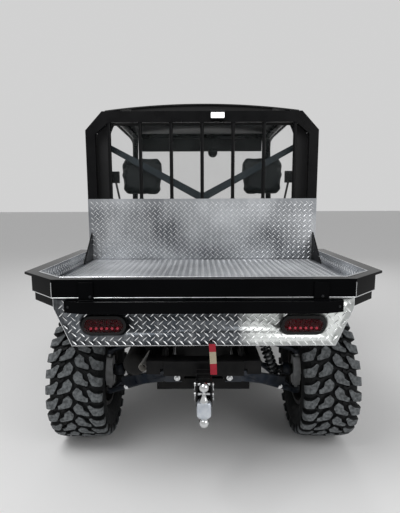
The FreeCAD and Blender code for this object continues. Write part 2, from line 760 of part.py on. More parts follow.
def shock(axle_offset, foot):
    """A coil spring unit from the lower arm to its tower."""
    foot_point = point(shock_foot, axle_offset, foot)
    head_point = point(shock_head, axle_offset, shock_head_height)
    way = (head_point - foot_point).normalize()
    length = (head_point - foot_point).Length
    shapes = [
        Part.makeCylinder(18, 24, foot_point - Vector(0, 12, 0), Vector(0, 1, 0)),
        Part.makeCylinder(10, length, foot_point, way),
        Part.makeCylinder(22, length * 0.42, foot_point + way * 30, way),
        *spring(foot_point + way * length * 0.3, way, length * 0.55),
        Part.makeCylinder(16, 40, head_point - Vector(0, 20, 0), Vector(0, 1, 0)),
        Part.makeCylinder(7, 50, head_point - Vector(0, 25, 0), Vector(0, 1, 0)),
    ]
    hole = Part.makeCylinder(8.3, 60, foot_point - Vector(0, 30, 0), Vector(0, 1, 0))
    return joined(shapes).cut(hole)


shocks = [shock(rear_axle - s.shock_offset, rear_foot), shock(front_axle + s.shock_offset, front_foot)]
keep("shocks", feature("shocks", Part.makeCompound(
    [side for shape in shocks for side in both_sides(shape)])))

# Steering

rack_y = steer_arm_back
rod_low = steer_arm_height + 8 + s.seat_gap
rod_eye_height = 16
rod_mid = rod_low + rod_eye_height / 2
rod_radius = 7
rod_bar = cylinder("rod_bar", "X", (-kingpin, rack_y, rod_mid), kingpin * 2, rod_radius)
rod_eye = cylinder("rod_eye", "Z", (kingpin - 6, rack_y, rod_low), rod_eye_height, 15)
keep("tie_rods", fuse("tie_rods", rod_bar, rod_eye, mirror("rod_eye_twin", rod_eye)))
steering_half = 150
rack_tube = cylinder("rack_tube", "X", (-steering_half, rack_y, rod_mid),
                     steering_half * 2, 28)
rack_bore = cylinder("rack_bore", "X", (-steering_half - 10, rack_y, rod_mid), steering_half * 2 + 20,
                     rod_radius + s.running_gap)
rack_foot = box("rack_foot", (90, 130), (rack_y - 15, rack_y + 15), (lower_z[1], rod_mid - 12))
rack_body = fuse("rack_body", rack_tube, rack_foot, mirror("rack_foot_twin", rack_foot))
keep("steering_rack", cut("steering_rack", rack_body, rack_bore))

column_x = -seat_place
wheel_centre = point(column_x, wheel_y, dash_top + s.wheel_rise)
tilt = math.radians(float(s.wheel_tilt))
column_way = Vector(0, -math.cos(tilt), math.sin(tilt))
column_foot = wheel_centre - column_way * 250
column = Part.makeCylinder(20, 220, column_foot, column_way)
keep("steering_column", feature("steering_column", column))
wheel_ring = Part.makeTorus(float(s.wheel_rim), float(s.wheel_grip), wheel_centre, column_way)
wheel_hub = Part.makeCylinder(32, 30, wheel_centre - column_way * 29.7, column_way)
spokes = []
for turn in (0, 120, 240):
    spoke = Part.makeBox(24, 10, float(s.wheel_rim) - 4, Vector(-12, 1, 0))
    spoke.rotate(Vector(), Vector(0, 1, 0), turn + 180)
    spoke.rotate(Vector(), Vector(1, 0, 0), -float(s.wheel_tilt))
    spoke.translate(wheel_centre)
    spokes.append(spoke)
keep("steering_wheel", feature("steering_wheel", joined([wheel_ring, wheel_hub, *spokes])))

# Cab

sill_out = s.cab_half + 35
sill_points = [(sill_in, sill_low), (sill_out - 35, sill_low), (sill_out, sill_low + 40),
               (sill_out, sill_top), (sill_in, sill_top)]
sill = prism("sill", "XZ", sill_points, cab_back, cab_y[1])
keep("rocker_panels", pair("rocker_panels", sill))

wall_y = (cab_back, cab_back + s.wall_thick)
wall_points = [(-sill_in + 1, floor_z[0]), (sill_in - 1, floor_z[0]), (sill_in - 1, sill_top),
               (s.cab_half, sill_top), (s.cab_half, cage_shoulder), (cage_top_half + 40, cage_top),
               (-cage_top_half - 40, cage_top), (-s.cab_half, cage_shoulder),
               (-s.cab_half, sill_top), (-sill_in + 1, sill_top)]
wall_solid = prism("wall_solid", "XZ", wall_points, *wall_y)
window_hole = box("window_hole", (-window_half, window_half), (wall_y[0] - 10, wall_y[1] + 10),
                  (window_low, window_top))
keep("rear_wall", cut("rear_wall", wall_solid, window_hole))
pane_y = (wall_y[0] + 7, wall_y[0] + 7 + s.glass)
keep("rear_window", box("rear_window", (-window_half + s.seat_gap, window_half - s.seat_gap), pane_y,
                        (window_low + s.seat_gap, window_top - s.seat_gap)))

quarter_points = [(wall_y[1], sill_top), (door_back - s.door_gap, sill_top),
                  (door_back - s.door_gap, door_top), (door_back - 90, door_top + 25),
                  (wall_y[1] + 90, door_top + 200), (wall_y[1], door_top + 300)]
quarter = prism("quarter", "YZ", quarter_points, s.cab_half, s.cab_half + 30)
keep("quarter_panels", pair("quarter_panels", quarter))

hoop_path = [(cage_half, hoop_y, sill_top), (cage_half, hoop_y, cage_shoulder),
             (cage_top_half, hoop_y, cage_top), (-cage_top_half, hoop_y, cage_top),
             (-cage_half, hoop_y, cage_shoulder), (-cage_half, hoop_y, sill_top)]
pillar_foot_y = cab_front - 30
cage_shapes = [tube(hoop_path, s.cage_radius, s.cage_bend)]
for sign in (1, -1):
    side_path = [(cage_half * sign, pillar_foot_y, sill_top),
                 (cage_half * sign, pillar_foot_y, sill_top + 20),
                 (cage_half * sign, cowl_y, cowl_height), (cage_top_half * sign, visor_y, cage_top),
                 (cage_top_half * sign, hoop_y, cage_top)]
    cage_shapes.append(tube(side_path, s.cage_radius, s.pillar_bend))
cross_y = visor_y - 45
cross_radius = s.cage_radius - 3
for reach, y, height, radius in ((cage_top_half, cross_y, cage_top, cross_radius),
                                 (cage_half, hoop_y, s.brace_low, 20)):
    cage_shapes.append(tube([(-reach, y, height), (reach, y, height)], radius))
keep("roll_cage", feature("roll_cage", joined(cage_shapes)))

brace_y = (hoop_y - 6, hoop_y + 6)
brace_end = cage_half - s.cage_radius - s.seat_gap
brace_points = [(0, s.brace_low + 20 + s.seat_gap), (28, s.brace_low + 20 + s.seat_gap),
                (brace_end, brace_high - 22), (brace_end, brace_high + 22), (0, s.brace_low + 66)]
brace_right = prism("brace_right", "XZ", brace_points, *brace_y)
keep("rear_brace", fuse("rear_brace", brace_right, mirror("brace_left", brace_right)))

# the crowned shell rests on the cage's side tubes
seat_rise = s.roof_crown * (1 - (cage_top_half / roof_half) * (cage_top_half / roof_half))
roof_low = cage_top + s.cage_radius + s.seat_gap - seat_rise
# roof section: place along Y, how far its edges drop, how far its middle rises, rib share
ROOF_STATIONS = ((roof_back, 0, s.roof_crown, 0), (roof_back + 180, 0, s.roof_crown, 1),
                 (visor_y + 40, 0, s.roof_crown, 1), (roof_front - 50, 12, s.roof_crown * 0.8, 0),
                 (roof_front + 30, 30, s.roof_crown * 0.5, 0))
RIB_PLACES = (460, 230, 0, -230, -460)
RIB_CORNERS = ((60, 0), (42, 1), (-42, 1), (-60, 0))


def roof_ring(y, drop, crown, share):
    """One cross section of the roof's ribbed, crowned shell."""
    half = float(roof_half)
    inner = half - float(s.roof_thick)
    scale = half / 660

    def rise(x, lift):
        """A point of the shell's face, lifted from its underside."""
        return point(x, y, roof_low - drop + crown * (1 - (x / half) ** 2) + lift)

    ring = [rise(half, -float(s.roof_lip)), rise(half, s.roof_thick)]
    for middle in RIB_PLACES:
        ring += [rise((middle + across) * scale, s.roof_thick + s.roof_rib * share * high)
                 for across, high in RIB_CORNERS]
    ring += [rise(-half, s.roof_thick), rise(-half, -float(s.roof_lip)), rise(-inner, -float(s.roof_lip)),
             rise(-inner, 0)]
    seats = [-cage_top_half, *(-middle * scale for middle in RIB_PLACES), cage_top_half]
    ring += [rise(float(x), 0) for x in seats]
    return ring + [rise(inner, 0), rise(inner, -float(s.roof_lip))]


keep("roof", feature("roof", skinned([roof_ring(*station) for station in ROOF_STATIONS])))

screen_gap = s.cage_radius + s.seat_gap
lean = math.atan2(float(cowl_y - visor_y), float(cage_top - cowl_height))
ahead = screen_gap / math.cos(lean)
screen_low = dash_top + 6
screen_top = cage_top - 10
slope = (cowl_y - visor_y) / (cage_top - cowl_height)
screen_foot = cowl_y + ahead - slope * (screen_low - cowl_height)
screen_head = cowl_y + ahead - slope * (screen_top - cowl_height)
screen_points = [(screen_foot, screen_low), (screen_foot + s.glass, screen_low),
                 (screen_head + s.glass, screen_top), (screen_head, screen_top)]
keep("windshield", prism("windshield", "YZ", screen_points, -window_half - 8, window_half + 8))

seat_y = (wall_y[1] + 30, wall_y[1] + 30 + s.seat_length)
seat_base_half = sill_in - 15
seat_outer = box("seat_outer", (-seat_base_half, seat_base_half), seat_y, (floor_z[1], seat_base_top))
seat_inner = box("seat_inner", (s.seat_wall - seat_base_half, seat_base_half - s.seat_wall),
                 (seat_y[0] + s.seat_wall, seat_y[1] - s.seat_wall),
                 (floor_z[1] - 10, seat_base_top - s.seat_wall))
keep("seat_base", cut("seat_base", seat_outer, seat_inner))
cushion_low = seat_base_top + s.seat_gap
cushion_top = cushion_low + s.cushion_thick
cushion_points = [(seat_y[0] + 110, cushion_low), (seat_y[1] + 10, cushion_low),
                  (seat_y[1] + 24, cushion_low + 40), (seat_y[1] - 6, cushion_top),
                  (seat_y[0] + 110, cushion_top)]
seat_x = (seat_place - s.seat_half, seat_place + s.seat_half)
cushion = prism("cushion", "YZ", cushion_points, *seat_x)
keep("seat_cushions", pair("seat_cushions", cushion))
back_low = cushion_top + s.seat_gap
back_y = seat_y[0] + 110
top_y = hoop_y + s.cage_radius + 10
back_points = [(back_y, back_low), (back_y + s.back_thick, back_low),
               (top_y + s.back_thick - 12, back_top - 30), (top_y + s.back_thick - 30, back_top),
               (top_y, back_top), (top_y, back_top - 60)]
back = prism("back", "YZ", back_points, *seat_x)
head = prism("head", "YZ", [(top_y + 4, back_top - 20), (top_y + 84, back_top - 20),
                            (top_y + 92, head_top - 40), (top_y + 70, head_top),
                            (top_y + 18, head_top), (top_y, head_top - 40)],
             seat_place - s.head_half, seat_place + s.head_half)
keep("seat_backs", pair("seat_backs", fuse("seat_back_right", back, head)))

dash_points = [(dash_back, dash_low + 60), (cab_y[1], dash_low), (dash_front, dash_low),
               (dash_front, dash_top - 34), (dash_front - 100, dash_top - 10),
               (cab_y[1] + 40, dash_top), (dash_back + 20, dash_top - 10)]
dash_solid = prism("dash_solid", "YZ", dash_points, -cage_half + s.cage_radius + 5,
                   cage_half - s.cage_radius - 5)
column_hole = feature("column_hole", Part.makeCylinder(20 + float(s.seat_gap), 250, column_foot, column_way))
pod_face = point(column_x, dash_back + 12, dash_top + 20)
pod = feature("pod", Part.makeCylinder(float(s.pod_radius), 75, pod_face, Vector(0, 1, -0.35)))
keep("dash", cut("dash", fuse("dash_body", dash_solid, pod), column_hole))

mirror_point = point(s.mirror_place, cross_y, cage_top - cross_radius - s.mirror_drop)
mirror_stalk = Part.makeCylinder(5, float(s.mirror_drop - s.seat_gap), mirror_point, Vector(0, 0, 1))
mirror_head = Part.makeCylinder(float(s.mirror_radius), 16, mirror_point - Vector(0, 16, 0), Vector(0, 1, 0))
keep("cab_mirror", feature("cab_mirror", joined([mirror_stalk, mirror_head])))

# Doors

door_y = (door_back, door_front)
door_points = [(door_y[0], door_low), (door_y[1], door_low), (door_y[1], door_top + 20),
               (door_y[0] + 160, door_top - 20), (door_y[0], door_top)]
door_x = (s.cab_half - 2, s.cab_half - 2 + s.door_thick)
door_flat = prism("door_flat", "YZ", door_points, *door_x)
door_eased = bevelled("door_eased", door_flat, s.door_bevel, lambda span: span.XMin > float(door_x[1]) - 1)
recess_points = [(door_y[0] + 120, door_low + 210), (door_y[1] - 190, door_low + 150),
                 (door_y[1] - 130, door_top - 170), (door_y[0] + 190, door_top - 140)]
recess = prism("door_recess", "YZ", recess_points, door_x[1] - 7, door_x[1] + 10)
door_panel = cut("door_panel", door_eased, recess)
hinge_x = door_x[1] + 8
hinge_y = door_y[1] + 8
hinge_pieces = []
HINGES = (("hinge_low", door_low + 60), ("hinge_high", door_top - 100))
for name, low in HINGES:
    barrel = cylinder(f"{name}_barrel", "Z", (hinge_x, hinge_y, low), 50, 8)
    leaf = box(f"{name}_leaf", (door_x[1], door_x[1] + 5), (hinge_y - 60, hinge_y - 2), (low, low + 50))
    hinge_pieces += [barrel, leaf]
door = fuse("door_right_solid", door_panel, *hinge_pieces)
keep("door_right", door)
keep("door_left", mirror("door_left_solid", door))

# Front body

hood_back = dash_front + s.seat_gap
# hood section: place along Y, height of its edges, rise of its middle
HOOD_STATIONS = ((hood_back, dash_top - 38, s.hood_raise),
                 (hood_back + 360, dash_top - 90, s.hood_raise * 0.8),
                 (hood_front, hood_nose, s.hood_raise * 0.25))
hood_rings = []
for y, height, raised in HOOD_STATIONS:
    right = [(s.hood_half, 0), (s.hood_half * 0.64, 4), (s.hood_half * 0.55, raised)]
    over = right + [(-x, rise) for x, rise in reversed(right)]
    hood_rings.append([point(x, y, height + rise) for x, rise in over]
                      + [point(x, y, height + rise - s.hood_thick) for x, rise in reversed(over)])
keep("hood", feature("hood", skinned(hood_rings)))

fender_back = cab_y[1] + s.door_gap
fender_top = dash_top - 38
fender_low = sill_top + s.fender_rise
wall = s.fender_wall


def fender_outline(back, inset):
    """Side view of a front fender, from its back edge, drawn inward by the wall where inset is 1."""
    drop = wall * inset
    low = fender_low - 60 * inset
    shoulder = [(hood_back, fender_top - drop)] if back is fender_back else []
    return [(back + drop, low), (back + drop, fender_top - drop), *shoulder,
            (hood_back + 360 - drop / 3, dash_top - 90 - drop),
            (hood_front + 20 - drop, hood_nose - 6 - drop * 0.7),
            (hood_front + 75 - drop, hood_nose - 210), (hood_front + 40 - drop * 1.4, low)]


fender_in = s.hood_half + s.seat_gap
# part, inner x, outer x, back edge
FENDER_PARTS = (("inner", fender_in, s.cab_half, hood_back), ("outer", s.cab_half, fender_half, fender_back))
solids = []
rooms = []
for part, low, high, back in FENDER_PARTS:
    solids.append(prism(f"fender_{part}", "YZ", fender_outline(back, 0), low, high))
    far = high - wall if part == "outer" else high
    rooms.append(prism(f"fender_{part}_room", "YZ", fender_outline(back, 1), low - 1, far))


def front_view(label, inset):
    """The fender's rounded-off front view, drawn inward by the wall where inset is 1."""
    drop = wall * inset
    corners = [(fender_in - 2 * inset, sill_top), (fender_half - drop, sill_top),
               (fender_half - drop, fender_top - 120), (fender_half - 22 - drop, fender_top - 45 - drop / 2),
               (fender_half - 80 - drop / 2, fender_top + 5 - drop),
               (fender_in - 2 * inset, fender_top + 5 - drop)]
    return prism(label, "XZ", corners, fender_back - 20, hood_front + 120)


fender_solid = common("fender_solid", fuse("fender_block", *solids), front_view("fender_view", 0))
fender_hollow = common("fender_hollow", fuse("fender_room", *rooms), front_view("fender_room_view", 1))
arch_radius = s.tyre_radius + s.arch_gap
arch = cylinder("arch", "X", (s.hood_half + 20, front_axle, s.tyre_radius), 600, arch_radius)
flare_x = (fender_half - 40, fender_half + s.flare_out)
flare_ring = cylinder("flare_ring", "X", (flare_x[0], front_axle, s.tyre_radius), flare_x[1] - flare_x[0],
                      arch_radius + s.flare)
flare = common("flare", flare_ring, prism("flare_room", "YZ", fender_outline(fender_back, 0), *flare_x))
headlamp_x = (s.hood_half + s.headlamp_inset, s.hood_half + s.headlamp_inset + s.headlamp_width)
headlamp_z = (hood_nose - s.headlamp_drop - s.headlamp_height, hood_nose - s.headlamp_drop)
lamp_y = (hood_front - 6, hood_front + 56)
lamp_hole = box("lamp_hole", headlamp_x, (hood_front - 60, hood_front + 200), headlamp_z)
fender_walls = cut("fender_walls", fender_solid, fender_hollow)
fender_shell = cut("fender_shell", fuse("fender_flared", fender_walls, flare), arch, lamp_hole)
cowl_side = box("cowl_side", (s.cab_half, s.cab_half + 30), (hinge_y + 8 + s.seat_gap, fender_back),
                (sill_top, fender_top))
cowl_pieces = [fender_shell, cowl_side]
for name, low in HINGES:
    seat = low + 50 + s.seat_gap
    cowl_pieces.append(cylinder(f"{name}_post", "Z", (hinge_x, hinge_y, seat), 20, 8))
    cowl_pieces.append(box(f"{name}_plate", (s.cab_half + 30, s.cab_half + 35), (hinge_y + 2, hinge_y + 50),
                           (seat, seat + 20)))
keep("front_fenders", pair("front_fenders", fuse("fender_right", *cowl_pieces)))
lamp_low = headlamp_z[0] + s.seat_gap
lamp_high = headlamp_z[1] - s.seat_gap
head_lamp_points = [(lamp_y[0], lamp_low), (lamp_y[1] + 10, lamp_low), (lamp_y[1] - 6, lamp_high),
                    (lamp_y[0], lamp_high)]
head_lamp = prism("head_lamp", "YZ", head_lamp_points, headlamp_x[0] + s.seat_gap,
                  headlamp_x[1] - s.seat_gap)
keep("headlamps", pair("headlamps", head_lamp))

grille_y = (hood_front + s.seat_gap, hood_front + s.grille_thick)
grille_plate = box("grille_plate", (-s.hood_half, s.hood_half), grille_y, (s.grille_low, hood_nose))
slots = []
slot_pitch = (hood_nose - s.grille_low - 82) / s.slot_rows
for row in range(int(float(s.slot_rows))):
    low = s.grille_low + 50 + slot_pitch * row
    slots.append(box(f"slot{row}", (-s.slot_half, s.slot_half), (grille_y[0] - 5, grille_y[1] + 5),
                     (low, low + slot_pitch * 7 / 12)))
keep("grille", cut("grille", grille_plate, group("slots", *slots)))

bumper_y = nose - s.bumper_tube
bumper_x = rail_x[0] + s.rail_tube / 2
bumper_foot = frame_front
bumper_path = [(-bumper_x, bumper_foot, rail_mid), (-bumper_x, bumper_foot + 20, rail_mid),
               (-bumper_x, bumper_y, rail_mid + 40),
               (-bumper_x - 60, bumper_y, 740), (bumper_x + 60, bumper_y, 740),
               (bumper_x, bumper_y, rail_mid + 40), (bumper_x, bumper_foot + 20, rail_mid),
               (bumper_x, bumper_foot, rail_mid)]
bumper_bar = tube([(-bumper_x - 20, bumper_y, 520), (bumper_x + 20, bumper_y, 520)], 16)
bumper_hoop = tube(bumper_path, s.bumper_tube, s.bumper_bend)
keep("front_bumper", feature("front_bumper", joined([bumper_hoop, bumper_bar])))

# Bed

rail_back = tail + s.rear_rail
inner_chamfer = s.wall_inner - (rear_straight - 19)


def ring_points(back, outer):
    """A rail outline in plan, open at the front, with both rear corners cut at 45 degrees."""
    front = tail + s.bed_length
    reach = outer - rear_straight
    inner_back = rear_straight - 19
    right = [(rear_straight, back), (outer, back + reach), (outer, front), (s.wall_inner, front),
             (s.wall_inner, rail_back + inner_chamfer), (inner_back, rail_back)]
    return right + [(-x, y) for x, y in reversed(right)]


upper_wall = prism("upper_wall", "XY", ring_points(tail, skirt_out), floor_low, rim_top - s.lip_thick)
panel_y = (tail + s.panel_set, tail + s.panel_set + s.panel_thick)
lower_band = prism("lower_band", "XY", ring_points(panel_y[1], skirt_out - 6), band_low, floor_low)
lip = prism("lip", "XY", ring_points(tail, lip_out), rim_top - s.lip_thick, rim_top)
keep("bed_rails", fuse("bed_rails", upper_wall, lower_band, lip))

gusset_back = tail + s.bed_length - s.gusset_length
notch_x = s.wall_inner - s.gusset_thick - s.seat_gap
notch_y = gusset_back - s.seat_gap
floor_right = [(rear_straight - 19, rail_back), (s.wall_inner, rail_back + inner_chamfer),
               (s.wall_inner, notch_y), (notch_x, notch_y), (notch_x, tail + s.bed_length)]
floor_points = floor_right + [(-x, y) for x, y in reversed(floor_right)]
keep("bed_floor", prism("bed_floor", "XY", floor_points, floor_low, floor_top))

beam_x = (rail_x[0] + s.beam_inset, rail_x[0] + s.beam_inset + s.bed_beam)
beam = box("beam", beam_x, (rail_back, tail + s.bed_length), (bed_beam_low, floor_low))
frame_pieces = [beam, mirror("beam_twin", beam)]
for name, back in (("joist_back", 60), ("joist_mid", s.bed_length / 2 - 25),
                   ("joist_front", s.bed_length - 70)):
    reach = rear_straight - 30 if name == "joist_back" else s.wall_inner
    frame_pieces.append(box(name, (-reach, reach), (tail + back, tail + back + s.bed_beam),
                            (band_low, floor_low)))
ear_points = [(tail + s.pin_ahead - 22, pin_height - 6), (tail + s.pin_ahead - 10, pin_height - 22),
              (tail + s.pin_ahead + 10, pin_height - 22), (tail + s.pin_ahead + 22, pin_height - 6),
              (tail + s.pin_ahead + 40, bed_beam_low), (tail + s.pin_ahead - 40, bed_beam_low)]
for name, low, high in (("ear_inner", beam_x[0], beam_x[0] + 8), ("ear_outer", beam_x[1] - 8, beam_x[1])):
    ear = prism(name, "YZ", ear_points, low, high)
    frame_pieces += [ear, mirror(f"{name}_twin", ear)]
frame_pieces.append(cylinder("hinge_pin", "X", (-beam_x[1], tail + s.pin_ahead, pin_height),
                             beam_x[1] * 2, s.pin_radius))
keep("bed_frame", fuse("bed_frame", *frame_pieces))

panel_points = [(-panel_bottom_half, panel_bottom), (panel_bottom_half, panel_bottom),
                (rear_straight, panel_corner), (rear_straight, floor_low),
                (-rear_straight, floor_low), (-rear_straight, panel_corner)]
panel_solid = prism("panel_solid", "XZ", panel_points, *panel_y)


def oval(label, length, height, back, front):
    """A stadium-shaped block at the right lamp's place."""
    radius = height / 2
    half = length / 2 - radius
    middle = box(f"{label}_middle", (lamp_place - half, lamp_place + half), (back, front),
                 (lamp_height - radius, lamp_height + radius))
    ends = [cylinder(f"{label}_end{number}", "Y", (lamp_place + half * sign, back, lamp_height),
                     front - back, radius) for number, sign in enumerate((-1, 1))]
    return fuse(label, middle, *ends)


hole = oval("lamp_hole_oval", s.grommet_length - 16, s.grommet_height - 16, panel_y[0] - 20, panel_y[1] + 20)
keep("tail_panel", cut("tail_panel", panel_solid, hole, mirror("lamp_hole_twin", hole)))
grommet_face = oval("grommet_face", s.grommet_length, s.grommet_height, panel_y[0] - s.grommet_proud,
                    panel_y[0])
grommet_neck = oval("grommet_neck", s.grommet_length - 16.6, s.grommet_height - 16.6, panel_y[0],
                    panel_y[1] + 12)
lens_room = oval("lens_room", s.lens_length, s.lens_height, panel_y[0] - 40, panel_y[1] + 40)
grommet = cut("grommet", fuse("grommet_solid", grommet_face, grommet_neck), lens_room)
keep("lamp_grommets", pair("lamp_grommets", grommet))
lens = oval("lens", s.lens_length, s.lens_height, panel_y[0] - s.grommet_proud - s.lens_proud,
            panel_y[1] + 8)
keep("tail_lamps", pair("tail_lamps", lens))

bar_y = (tail - s.bar_out, tail + 10)
bar_points = [(-bar_half, bar_y[1]), (-bar_half, bar_y[0] + 25), (-bar_straight, bar_y[0]),
              (bar_straight, bar_y[0]), (bar_half, bar_y[0] + 25), (bar_half, bar_y[1])]
bar = prism("bar", "XY", bar_points, bar_top - s.bar_size, bar_top)
hanger = box("hanger", (hanger_place - s.hanger_width / 2, hanger_place + s.hanger_width / 2),
             (tail - s.hanger_thick, tail), (bar_top, hanger_top))
keep("cross_bar", fuse("cross_bar", bar, hanger, mirror("hanger_twin", hanger)))

plate_y = (tail + s.bed_length, tail + s.bed_length + s.plate_thick)
keep("headboard_plate", box("headboard_plate", (-rack_half, rack_half), plate_y, (band_low, plate_top)))
rack_y_span = (plate_y[1], plate_y[1] + s.rack_tube)
post_in = rack_half - s.post_width
rack_right = [(rack_half, band_low), (rack_half, rack_corner), (rack_corner_half, rack_top)]
rack_inside = [(post_in, band_low), (post_in, rack_corner - 25),
               (rack_corner_half - 40, rack_top - s.top_rail)]
rack_points = rack_right + [(-x, z) for x, z in reversed(rack_right)]
rack_points += [(-x, z) for x, z in rack_inside] + list(reversed(rack_inside))
rack_pieces = [prism("rack_hoop", "XZ", rack_points, *rack_y_span),
               box("rack_lower_rail", (-post_in, post_in), rack_y_span, (plate_top - 60, plate_top))]
bar_middle = (rack_y_span[0] + rack_y_span[1]) / 2
for count in range(int(float(s.rack_bar_count))):
    x = s.bar_pitch * (count - (s.rack_bar_count - 1) / 2)
    rack_pieces.append(cylinder(f"rack_bar{count}", "Z", (x, bar_middle, plate_top),
                                rack_top - s.top_rail - plate_top, s.rack_bar / 2))
keep("rack_frame", fuse("rack_frame", *rack_pieces))

gusset_points = [(gusset_back, floor_low), (plate_y[0], floor_low),
                 (plate_y[0], floor_top + s.gusset_height), (gusset_back, floor_top)]
gusset = prism("gusset", "YZ", gusset_points, s.wall_inner - s.gusset_thick, s.wall_inner)
keep("gussets", pair("gussets", gusset))

lamp_x = (s.work_lamp_place - s.work_lamp_width / 2, s.work_lamp_place + s.work_lamp_width / 2)
keep("work_lamp", box("work_lamp", lamp_x, (rack_y_span[0] - s.work_lamp_depth, rack_y_span[0] - s.seat_gap),
                      (rack_top - s.work_lamp_height, rack_top)))

# Tow gear and exhaust

receiver_mid = receiver_top - s.receiver_size / 2
half = s.receiver_size / 2
receiver_y = (tail - 10, tail + 180)
hitch_plate = box("hitch_plate", (-s.hitch_plate_half, s.hitch_plate_half), (frame_back - 8, frame_back),
                  (receiver_top - s.hitch_plate_drop,
                   receiver_top - s.hitch_plate_drop + s.hitch_plate_height))
receiver_tube = box("receiver_tube", (-half, half), receiver_y,
                    (receiver_top - s.receiver_size, receiver_top))
bore_half = s.receiver_bore / 2
receiver_hole = box("receiver_hole", (-bore_half, bore_half), (receiver_y[0] - 5, receiver_y[1] + 5),
                    (receiver_mid - bore_half, receiver_mid + bore_half))
receiver_solid = fuse("receiver_solid", hitch_plate, receiver_tube)
keep("hitch_receiver", cut("hitch_receiver", receiver_solid, receiver_hole))

ball_y = tail - s.ball_behind - 8
shank_half = s.shank / 2
shank_bar = box("shank_bar", (-shank_half, shank_half), (tail - 45, tail + 140),
                (receiver_mid - shank_half, receiver_mid + shank_half))
block_top = receiver_top - s.block_drop
block_low = block_top - s.block_height
balls_z = (receiver_top - s.upper_ball_drop, receiver_top - s.lower_ball_drop)
drop = box("drop", (-s.block_half, s.block_half), (tail - 50, tail - 35), (block_low, receiver_top))
block_right = [(s.block_half - 9, block_low), (s.block_half, block_low + 13), (s.block_half, block_top - 8),
               (s.block_half - 5, block_top)]
block = prism("block", "XZ", block_right + [(-x, z) for x, z in reversed(block_right)],
              tail - s.ball_reach, tail - 35)
mount_pieces = [shank_bar, drop, block]
neck_base = s.ball_radius - 2
# name, low end, high end, radius at each
FLARES = (("flare_up", block_top, block_top + (balls_z[0] - block_top) * 0.42, neck_base, s.ball_neck),
          ("flare_down", block_low + (balls_z[1] - block_low) * 0.42, block_low, s.ball_neck, neck_base))
for name, low, high, low_radius, high_radius in FLARES:
    mount_pieces.append(cone(name, (0, ball_y, low), high - low, low_radius, high_radius))
# name, ball's height, low end, high end
NECKS = (("neck_up", balls_z[0], FLARES[0][2], balls_z[0]),
         ("neck_down", balls_z[1], balls_z[1], FLARES[1][1]))
for name, height, low, high in NECKS:
    mount_pieces.append(cylinder(name, "Z", (0, ball_y, low), high - low, s.ball_neck))
    ball = doc.addObject("Part::Sphere", f"{name}_ball")
    bind(ball, "Radius", s.ball_radius)
    place(ball, 0, ball_y, height)
    mount_pieces.append(ball)
for height in (block_low + s.block_height / 2, receiver_top - s.receiver_size / 2 + 4):
    mount_pieces.append(cylinder("mount_pin", "X", (-s.block_half - 11, ball_y + 40, height),
                                 s.block_half * 2 + 22, 6))
keep("ball_mount", fuse("ball_mount", *mount_pieces))

strap_top = receiver_top + s.strap_rise
strap_x = (half + s.seat_gap, half + s.seat_gap + s.strap_width)
keep("pull_strap", box("pull_strap", strap_x, (tail - 10, tail - 6),
                       (strap_top - s.strap_length, strap_top)))

silencer_z = upper_rail_low - s.silencer_drop
silencer = Part.makeCylinder(float(s.silencer_radius), float(s.silencer_length),
                             point(-s.silencer_place, tail + s.silencer_set, silencer_z), Vector(0, 1, 0))
tip_start = point(18 - s.silencer_place, tail + s.silencer_set + 5, silencer_z + 15)
tip_way = Vector(-0.25, -1, -0.25).normalize()
tip = Part.makeCylinder(float(s.tip_radius), 60, tip_start, tip_way)
tip_bore = Part.makeCylinder(float(s.tip_radius) - 3, 40, tip_start + tip_way * 25, tip_way)
bracket = Part.makeBox(40, 30, 30, point(-rail_x[1] - 40, tail + s.silencer_set + 100, upper_z[0] + 4))
keep("exhaust", feature("exhaust", joined([silencer, tip, bracket]).cut(tip_bore)))

# Write every piece

doc.recompute()
for item in doc.Objects:
    for word in ("Invalid", "Error"):
        if word in item.State:
            raise RuntimeError(f"{item.Label} is {item.State}")
os.makedirs("parts", exist_ok=True)
for name, item in nodes.items():
    shape = item.Shape
    if shape.isNull() or not shape.isValid() or not shape.Solids:
        raise RuntimeError(f"{name} has no valid solid")
    if min(solid.Volume for solid in shape.Solids) <= 0:
        raise RuntimeError(f"{name} is turned inside out")
    shape.exportStep(f"parts/{name}.step")
print(len(nodes), "nodes")
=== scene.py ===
"""The looks of a side by side utility vehicle with a tilting flat cargo bed.

Metres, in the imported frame: +X is the vehicle's right, +Y is forward, +Z is up and the ground
is at Z = 0. Each sub-assembly is a class that builds its own meshes and dresses its own nodes.
"""

import json
import logging
import math
from dataclasses import dataclass
from enum import Enum
from typing import Callable, Iterable, Sequence

import bmesh
import bpy
import numpy as np
from mathutils import Matrix, Vector


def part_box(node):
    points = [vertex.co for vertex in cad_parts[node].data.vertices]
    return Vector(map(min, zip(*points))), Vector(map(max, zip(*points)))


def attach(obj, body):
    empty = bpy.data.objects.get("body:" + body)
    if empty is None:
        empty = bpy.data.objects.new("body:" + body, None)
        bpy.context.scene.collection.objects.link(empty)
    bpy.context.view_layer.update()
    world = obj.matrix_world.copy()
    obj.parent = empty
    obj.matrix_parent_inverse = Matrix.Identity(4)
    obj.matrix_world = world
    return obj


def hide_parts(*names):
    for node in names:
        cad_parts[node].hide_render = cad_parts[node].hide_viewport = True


log = logging.getLogger("utility_vehicle")
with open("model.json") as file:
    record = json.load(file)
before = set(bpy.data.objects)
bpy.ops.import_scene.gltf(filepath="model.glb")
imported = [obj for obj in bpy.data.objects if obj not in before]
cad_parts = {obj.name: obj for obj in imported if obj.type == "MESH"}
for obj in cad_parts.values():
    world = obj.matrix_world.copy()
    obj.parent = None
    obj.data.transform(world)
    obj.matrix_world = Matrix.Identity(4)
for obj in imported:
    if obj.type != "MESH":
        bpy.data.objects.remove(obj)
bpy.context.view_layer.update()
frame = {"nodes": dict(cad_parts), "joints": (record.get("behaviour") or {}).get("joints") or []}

Colour = tuple[float, float, float]
